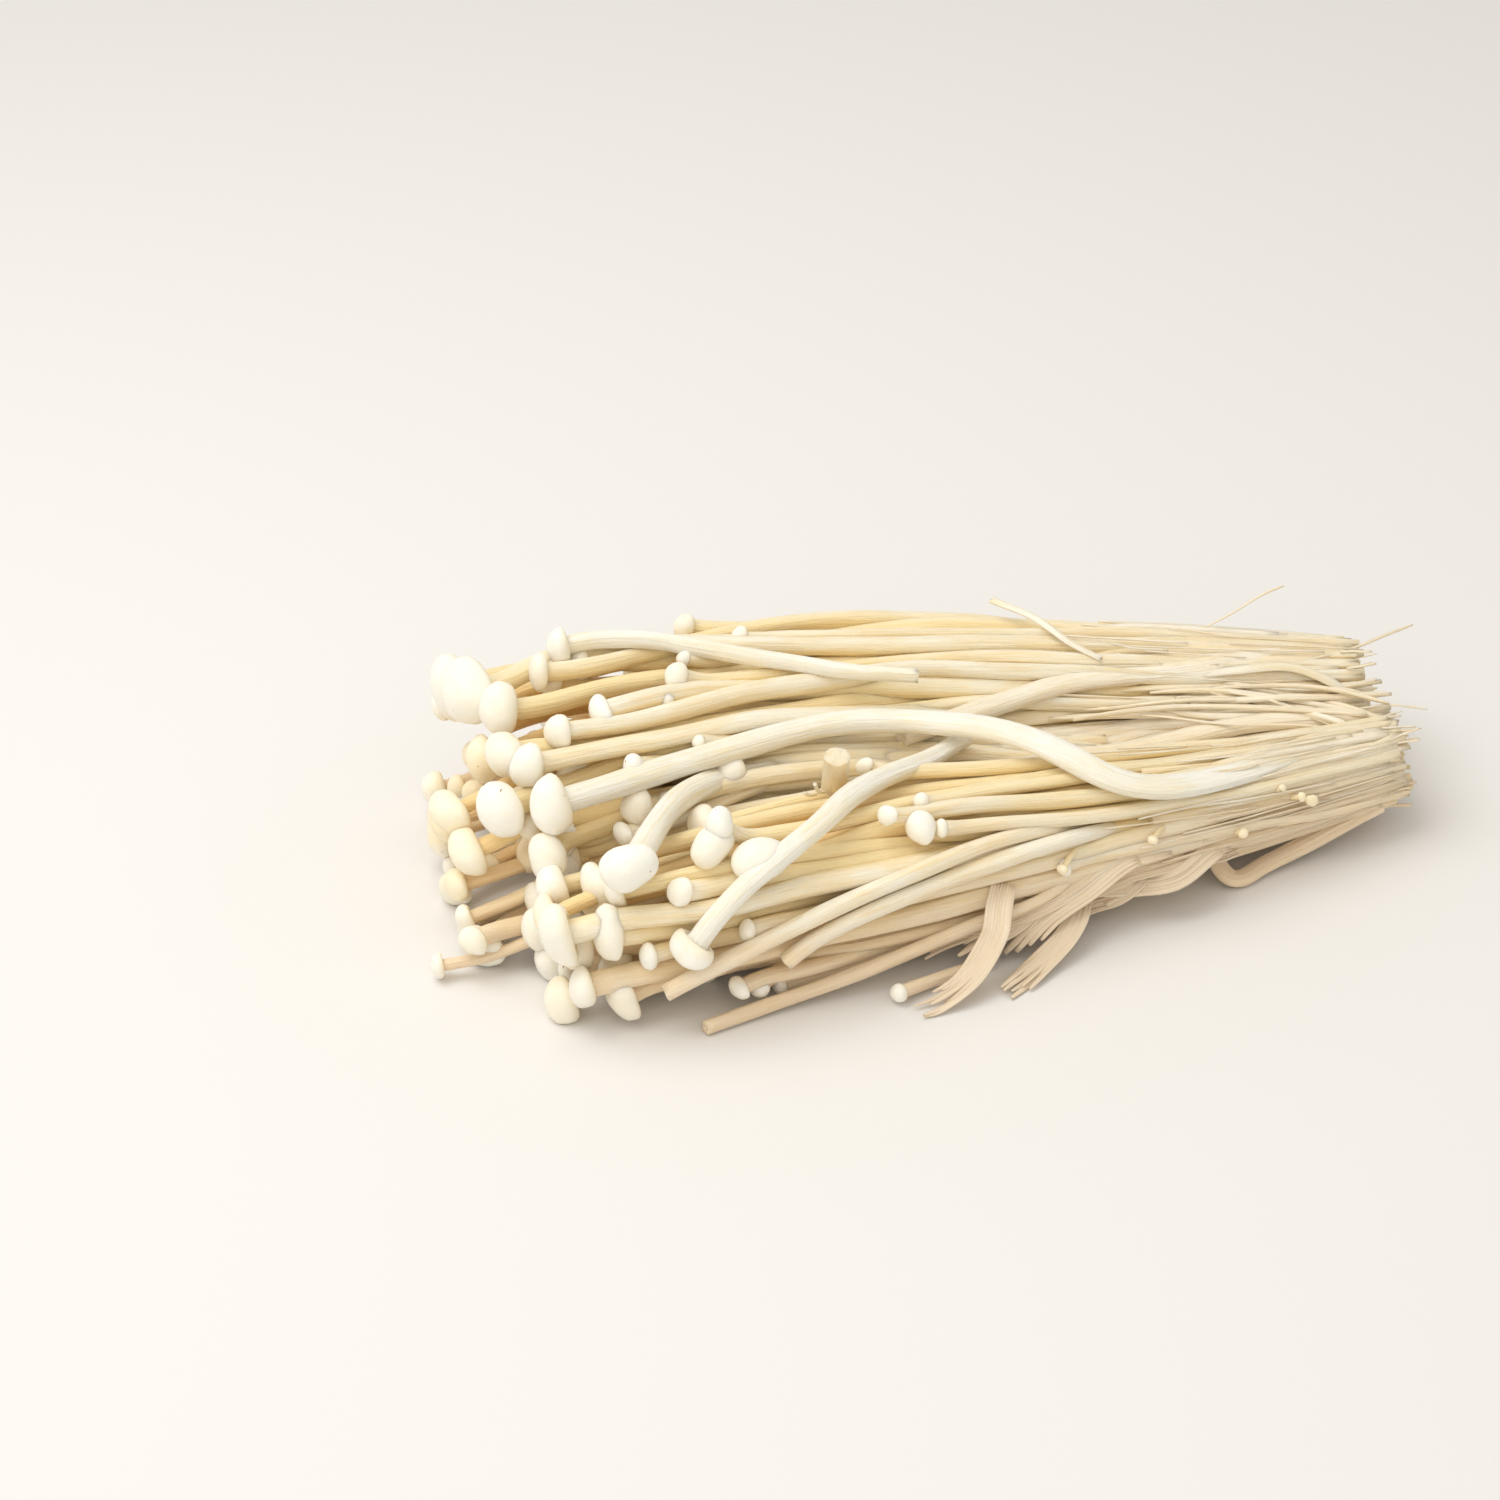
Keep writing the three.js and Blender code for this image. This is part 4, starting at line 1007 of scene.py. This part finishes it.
# Loose wisps across the furrow, from the back lobe's edge down to the front lobe's cut end
wisps = {
    "count": 16, "level": 0,
    "foot": [[18, 46], [-1.5, 3.5], [16.2, 18.6]], "tip": [[50, 69], [-12, -2.5], [14.5, 17]],
    "bow": [[0, 0], [-2, 3], [-0.6, 1.0]], "waves": [0.2, 0.7], "radius": [0.22, 0.62], "samples": 25,
    "look": fibreLook, "seed": 1600,
}
# The stem along the back lobe's edge of the furrow, which the long pale one leaves at a fork
edgeStem = {
    "points": [[67, 10.4, 15.6], [60, 8.7, 17.6], [54, 7.4, 18.6], [42.9, 6, 19.4], [30.6, 5.5, 20],
               [21.3, 4.4, 20.4], [11.7, 1.8, 20.4], [3.8, -0.6, 20.2], [-4, -2.4, 19.6]],
    "stem": 3.4, "flat": 0.85, "look": {"taper": 0.7, "flutes": 0.09, "oval": 0.1},
}


def strands(part):
    # Bowed and waved lines from feet drawn in one box to tips drawn in another
    seed = numbers(part)
    foot, tip = drawnPoints(part["foot"], seed, 1), drawnPoints(part["tip"], seed, 4)
    tip[:, 2] = mix(tip[:, 2], foot[:, 2], part["level"])
    waves = between(seed, 9, *part["waves"])
    line = fibreLines(foot, tip, drawnPoints(part["bow"], seed, 6), waves, seed, part["samples"])
    return fibreRings(line, between(seed, 10, *part["radius"]), seed, part["look"])


makePiece("furrowStrands", "mushroom_bunch", fine,
          [strands(middle), strands(wisps), single(edgeStem, 77, {**looseLook, **edgeStem["look"]})])

# Flat strands that fill the grooves between the feet, where the stems have run together
matting = {
    "count": 96, "angles": [-30, 235], "turn": [-0.07, 0.07], "from": [0.0, 0.08], "to": [0.18, 0.42],
    "depth": [0.75, 1.25], "dips": 3.0, "sinks": 0.7, "radius": [0.6, 1.1], "flat": 0.5,
    "look": {**fibreLook, "sides": 10, "rings": 20, "flutes": 0.12}, "seed": 1300,
}
# Fine threads along the lobes' skins near the cut end, some with a free end
threads = {
    "count": 50, "angles": [-10, 205], "turn": [-0.16, 0.16],
    "from": [0.0, 0.24], "run": [0.25, 1], "last": 0.36,
    "lift": -0.15, "free": 0.75, "freeLift": [0, 1.0], "hidden": {"lift": -0.6, "angle": 1.1, "within": 0.35},
    "radius": [0.09, 0.22], "look": {**fibreLook, "sides": 5, "rings": 12}, "seed": 1700,
}
stretch = np.linspace(0, 1, 25)[None]


def mattingStrands():
    # Each follows the skin a little below it, and dips under the stems in its second half
    seed = numbers(matting)
    u = mix(between(seed, 1, *matting["from"])[:, None], between(seed, 2, *matting["to"])[:, None], stretch)
    place = (np.arange(matting["count"]) + draw(seed, 3)) / matting["count"]
    angle = np.radians(mix(*matting["angles"], place))[:, None]
    angle = angle + between(seed, 4, *matting["turn"])[:, None] * stretch
    depth = between(seed, 5, *matting["depth"])[:, None] + matting["dips"] * ease((stretch - 0.5) * 2)
    depth = depth + matting["sinks"] * ease((u - 0.2) * 8)
    line = onSkin((np.arange(matting["count"]) % 2)[:, None], u, angle, -depth)
    return fibreRings(line, between(seed, 6, *matting["radius"]), seed, matting["look"], 0.5, matting["flat"])


def skinThreads():
    # Most lie along the skin, and some rise off it at the end. Round one angle of the lobes they lie lower.
    seed = numbers(threads)
    first = between(seed, 1, *threads["from"])[:, None]
    u = first + stretch * between(seed, 2, *threads["run"])[:, None] * (threads["last"] - first)
    lobeIndex = (draw(seed, 3) > 0.5).astype(int)[:, None]
    angle = np.radians(between(seed, 4, *threads["angles"]))[:, None]
    angle = angle + between(seed, 5, *threads["turn"])[:, None] * stretch
    isFree = (draw(seed, 7) > threads["free"])[:, None]
    hidden = threads["hidden"]
    lift = threads["lift"] + hidden["lift"] * np.exp(-((angle - hidden["angle"]) / hidden["within"]) ** 2)
    lift = lift + between(seed, 6, *threads["freeLift"])[:, None] * isFree * ease((stretch - 0.6) * 2.5)
    radius = between(seed, 8, *threads["radius"])
    return fibreRings(onSkin(lobeIndex, u, angle, lift), radius, seed, threads["look"])


# Feet that fill the inside of the cut end: spread evenly over each lobe's section, like seeds on a disc
feet = {
    "count": [84, 44], "depth": 2.2, "from": 0.004, "ragged": 0.02, "to": 0.3, "radius": [0.75, 1.15],
    "goldenTurn": 2.39996, "seed": 2500,
    "look": {**fibreLook, "sides": 10, "rings": 9, "flutes": 0.1, "oval": 0.12},
}


def footLines(index):
    # The nth lies at sqrt(n / count) of the way out, each a golden turn on from the last
    n = np.arange(feet["count"][index])
    seed = feet["seed"] + 100 * index + n
    share = np.sqrt((n + 0.5) / len(n))[:, None]
    u = mix(feet["from"] + feet["ragged"] * draw(seed, 1)[:, None], feet["to"], stretch)
    return onSkin(index, u, (feet["goldenTurn"] * n)[:, None], -feet["depth"], share), seed


footLine, seed = [np.concatenate(each) for each in zip(footLines(0), footLines(1))]
made = fibreRings(footLine, between(seed, 2, *feet["radius"]), seed, feet["look"], 0.95)
makePiece("cutEndFeet", "mushroom_bunch", fine, [made])

# Short fibres standing out of the ragged cut, and three long ones
cutFibres = {
    "count": 110, "root": 64, "cut": 67, "reach": [0.4, 2.6], "inset": 9, "spread": 0.5, "waves": 0.12,
    "radius": [0.07, 0.24], "look": {**fibreLook, "sides": 5, "rings": 7, "endRings": [0.9]}, "seed": 1900,
}
longFibres = {
    "count": 3, "seed": 2100,
    "start": [[55.0, 4.0, 18.8], [46.0, 13.0, 21.5], [58.0, -3.0, 14.0]],
    "end": [[76.4, 8.0, 20.0], [59.0, 16.0, 25.0], [72.5, -8.0, 16.0]],
    "bow": [[0, 0, -0.8], [0, 0, 0.5], [0, 0, 1.0]],
    "waves": [0.3, 0.3, 0.5],
    "radius": [0.22, 0.2, 0.16],
}


def shortThreads():
    # Each starts inside the cut end, most of them near the skin, and leans to any side
    seed = numbers(cutFibres)
    lobeIndex = (draw(seed, 1) > 0.62).astype(int)
    inset = cutFibres["inset"] * draw(seed, 2) ** 2
    start = onSkin(lobeIndex, 0 * inset + 0.01, 2 * np.pi * draw(seed, 3), -inset)
    start[:, 0] = cutFibres["root"]
    reach = between(seed, 4, *cutFibres["reach"])
    y, z = [start[:, j] + between(seed, 4 + j, -1, 1) * reach * cutFibres["spread"] for j in (1, 2)]
    end = points3(cutFibres["cut"] + reach, y, np.maximum(z, clear["fibre"]))
    line = fibreLines(start, end, 0 * start, cutFibres["waves"] + 0 * reach, seed, 13)
    return fibreRings(line, between(seed, 7, *cutFibres["radius"]), seed, cutFibres["look"], 0.3)


def longThreads():
    # Bowed and waved lines between the listed points
    seed = numbers(longFibres)
    start, end, bow, waves = [np.array(longFibres[key], float) for key in ("start", "end", "bow", "waves")]
    line = fibreLines(start, end, bow, waves, seed)
    return fibreRings(line, np.array(longFibres["radius"]), seed, fibreLook, 0.25)


makePiece("fineFibres", "mushroom_bunch", fine,
          [mattingStrands(), skinThreads(), shortThreads(), longThreads()])

# Torn ribbons of fibres hanging off the front lobe's flank, some down to the floor
fray = {
    "count": 16, "fibres": 6, "parting": 0.6, "root": [10, 40], "angles": [172, 212], "lift": -0.6,
    "fall": [0.1, 1], "along": [12, 30], "out": [1, 7], "bow": [[0, 0], [-1.5, 0.5], [-0.5, 1.5]],
    "waves": [0.3, 0.9], "width": [1.4, 3.0], "up": [0.1, -0.6, 0.8], "flat": 0.5,
    "look": {**fibreLook, "sides": 8, "rings": 18},
    "seed": 2200,
}


def frayedRibbons():
    # From the skin back along the flank and outwards; fall is how much of the way to the floor each hangs
    seed = numbers(fray)
    x = mix(*fray["root"], (np.arange(fray["count"]) + draw(seed, 1)) / fray["count"])
    angle = np.radians(between(seed, 2, *fray["angles"]))
    root = onSkin(1, (bunch["cutEnd"] - x) / bunch["length"], angle, fray["lift"])
    fall = between(seed, 3, *fray["fall"]) ** 1.4
    end = root + points3(-between(seed, 4, *fray["along"]), -between(seed, 5, *fray["out"]) * fall, 0)
    end[:, 2] = mix(root[:, 2], 0.6, fall)
    bow = drawnPoints(fray["bow"], seed, 5)
    line = fibreLines(root, end, bow, between(seed, 8, *fray["waves"]), seed)
    width = between(seed, 9, *fray["width"])
    up = np.array(fray["up"])
    fibres, seed, radius = ribbonFibres(line, width, fray["fibres"], fray["parting"], seed, up)
    return fibreRings(fibres, radius, seed, fray["look"], 0.3, fray["flat"])


# The frayed strands take the duller, browner flesh of painted shade
makePiece("frayedStrands", "mushroom_bunch", paintedShadeTorn, [frayedRibbons()])

# Small things on and by the bunch: stem and cap diameters, tone, points from the buried end to the free one,
# and how flat it is if it is not round
small = {
    "bareTips": [
        [2.6, 0, 0.1, [[17, -23.5, 14.5], [9, -27.2, 17.2], [-0.4, -29.9, 17.9], [-12.4, -33.4, 16.8],
                       [-22.5, -35.3, 14.8], [-32.5, -36.6, 11.9], [-40.9, -37.4, 9], [-45.8, -37.6, 7]]],
        [2.5, 0, 0.0, [[22, -23.5, 13.5], [13, -28, 15.9], [3.9, -30.3, 15.8], [-8.1, -33, 14.6],
                       [-18.4, -35.2, 13.1], [-24.8, -36.1, 11], [-29.1, -36.6, 8.4]]],
        [2.0, 0, 0.2, [[16, -26.5, 9.5], [8, -30.2, 7.8], [-0.7, -31.9, 6.8], [-12.5, -34, 4.8],
                       [-23.7, -35, 2.4], [-32.3, -36.4, 1.4], [-40.8, -38.6, 1.1]]],
    ],
    "stragglers": [
        [2.0, 4.4, 0.6, [[-38, -8, 12], [-53.2, -9.3, 10], [-60.8, -11.2, 8], [-67.4, -11.4, 6]]],
        [1.8, 3.7, 0.3, [[-42, -13, 8], [-56.2, -16.2, 5.4], [-66, -16.8, 2.8], [-72.6, -16.5, 2.2]]],
    ],
    "lyingStrands": [
        [1.7, 0, 0.1, [[40, 4.5, 18.8], [46.4, 3.4, 19.5], [55.6, 3, 19.0], [61.5, 0.4, 16.6],
                       [66.0, -2.4, 13.0]], 0.4],
        [1.3, 0, 0.0, [[28, 6.5, 22.6], [24.1, 9.6, 24.2], [20.6, 15.5, 25.5], [16, 21.5, 25.9]], 0.5],
    ],
    "buds": [
        [0.9, 1.9, 2.6, [[47.6, -17, 9], [49.6, -20, 11.4], [50.2, -21.6, 11.8]]],
        [0.7, 1.3, 2.6, [[46, -17.5, 9], [47.6, -20.8, 12.4], [48.6, -22.2, 13]]],
        [0.7, 1.1, 2.6, [[43.6, -18, 10], [45, -20.6, 13.6], [45.8, -22, 14.9]]],
        [0.9, 1.5, 2.6, [[37.4, -20, 8], [38.4, -23.4, 10], [39.2, -24.9, 10.4]]],
        [0.8, 1.5, 2.2, [[28.4, -24.4, 13.4], [26.4, -26.4, 13.6], [25.6, -27.4, 13]]],
        [0.9, 1.7, 2.2, [[14.6, -27.4, 13.8], [12.8, -29.2, 13.4], [11.8, -30.2, 12.6]]],
        [1.2, 2.2, 2.6, [[16, -27, 6], [12.6, -30.4, 3.6], [9.8, -32.4, 1.4]]],
    ],
    "crumbs": [
        [0.6, 0, 0.0, [[-18.5, -15.8, 21], [-19.6, -17.4, 22.4], [-20.2, -18, 24]]],
        [0.5, 0, 0.0, [[-19.6, -16, 21], [-20.8, -17.6, 22], [-21.9, -18.4, 23]]],
    ],
}
smallLook = {**looseLook, "sides": 16, "rings": 36, "wander": 0.05}
firstSeed = 300
for name, parts in small.items():
    made = []
    for n, (stem, cap, tone, points, *flat) in enumerate(parts):
        part = {"points": points, "stem": stem, "tone": tone, "flat": flat[0] if flat else 1.0}
        if cap:
            part["cap"] = cap
        made.append(single(part, firstSeed + n, smallLook))
    makePiece(name, "mushroom_bunch", flesh, made, 0.3)
    firstSeed += len(parts)

# Floor of white paper
paper = {"colour": (0.80, 0.785, 0.765), "roughness": 0.9, "half": 3}
floor = bpy.data.objects.new("floor", bpy.data.meshes.new("floor"))
corners = [(x * paper["half"], y * paper["half"], 0) for x, y in ((-1, -1), (1, -1), (1, 1), (-1, 1))]
floor.data.from_pydata(corners, [], [(0, 1, 2, 3)])
bpy.context.scene.collection.objects.link(floor)
floorNodes = Nodes("floorPaper")
sheet = floorNodes.add("BsdfPrincipled", {"Base Color": paper["colour"], "Roughness": paper["roughness"]})
floorNodes.add("OutputMaterial", {"Surface": sheet})
floor.data.materials.append(floorNodes.material)

# Soft light from all around, with a warm-white key lamp from high on the left and a warmer fill in front
light = {
    "world": {"strength": 0.67, "colour": (1.0, 0.972, 0.925)},
    "key": {"energy": 2.1, "size": 0.5, "place": (-0.25, 0.05, 0.57), "colour": (1.0, 0.99, 0.96)},
    "fill": {"energy": 1.4, "size": 0.9, "place": (-0.28, -0.56, 0.42), "colour": (1.0, 0.93, 0.82)},
}
world = bpy.data.worlds.new("studio")
bpy.context.scene.world = world
world.use_nodes = True
background = world.node_tree.nodes["Background"]
background.inputs["Color"].default_value = (*light["world"]["colour"], 1)
background.inputs["Strength"].default_value = light["world"]["strength"]
for name in ("key", "fill"):
    lamp = bpy.data.lights.new(name, "AREA")
    lamp.energy, lamp.size, lamp.color = [light[name][key] for key in ("energy", "size", "colour")]
    lampObject = bpy.data.objects.new(name, lamp)
    lampObject.location = light[name]["place"]
    lampObject.rotation_euler = (-Vector(light[name]["place"])).to_track_quat("-Z", "Y").to_euler()
    bpy.context.scene.collection.objects.link(lampObject)

# Camera: it stands in that direction from the target, and the target shows at that pixel of a square picture
view = {
    "azimuth": -15, "elevation": 32, "distance": 0.5952, "target": (0, 0, 0.010),
    "at": (924, 783), "side": 1500, "lens": 100, "sensor": 36, "clip": (0.01, 20),
}
a, e = math.radians(view["azimuth"]), math.radians(view["elevation"])
back = Vector((math.sin(a) * math.cos(e), -math.cos(a) * math.cos(e), math.sin(e)))
right = Vector((math.cos(a), math.sin(a), 0))
up = back.cross(right)
cameraData = bpy.data.cameras.new("camera")
cameraData.lens, cameraData.sensor_width = view["lens"], view["sensor"]
cameraData.clip_start, cameraData.clip_end = view["clip"]
camera = bpy.data.objects.new("camera", cameraData)
focal = view["side"] * view["lens"] / view["sensor"]        # in pixels
aim = -back * focal + right * (view["side"] / 2 - view["at"][0]) - up * (view["side"] / 2 - view["at"][1])
camera.location = Vector(view["target"]) + back * view["distance"]
forward = aim.normalized()
across = (right - forward * right.dot(forward)).normalized()
camera.rotation_euler = Matrix([across, across.cross(forward), -forward]).transposed().to_euler()
bpy.context.scene.collection.objects.link(camera)
bpy.context.scene.camera = camera
bpy.context.scene.view_settings.view_transform = "Standard"
print("stage ready")
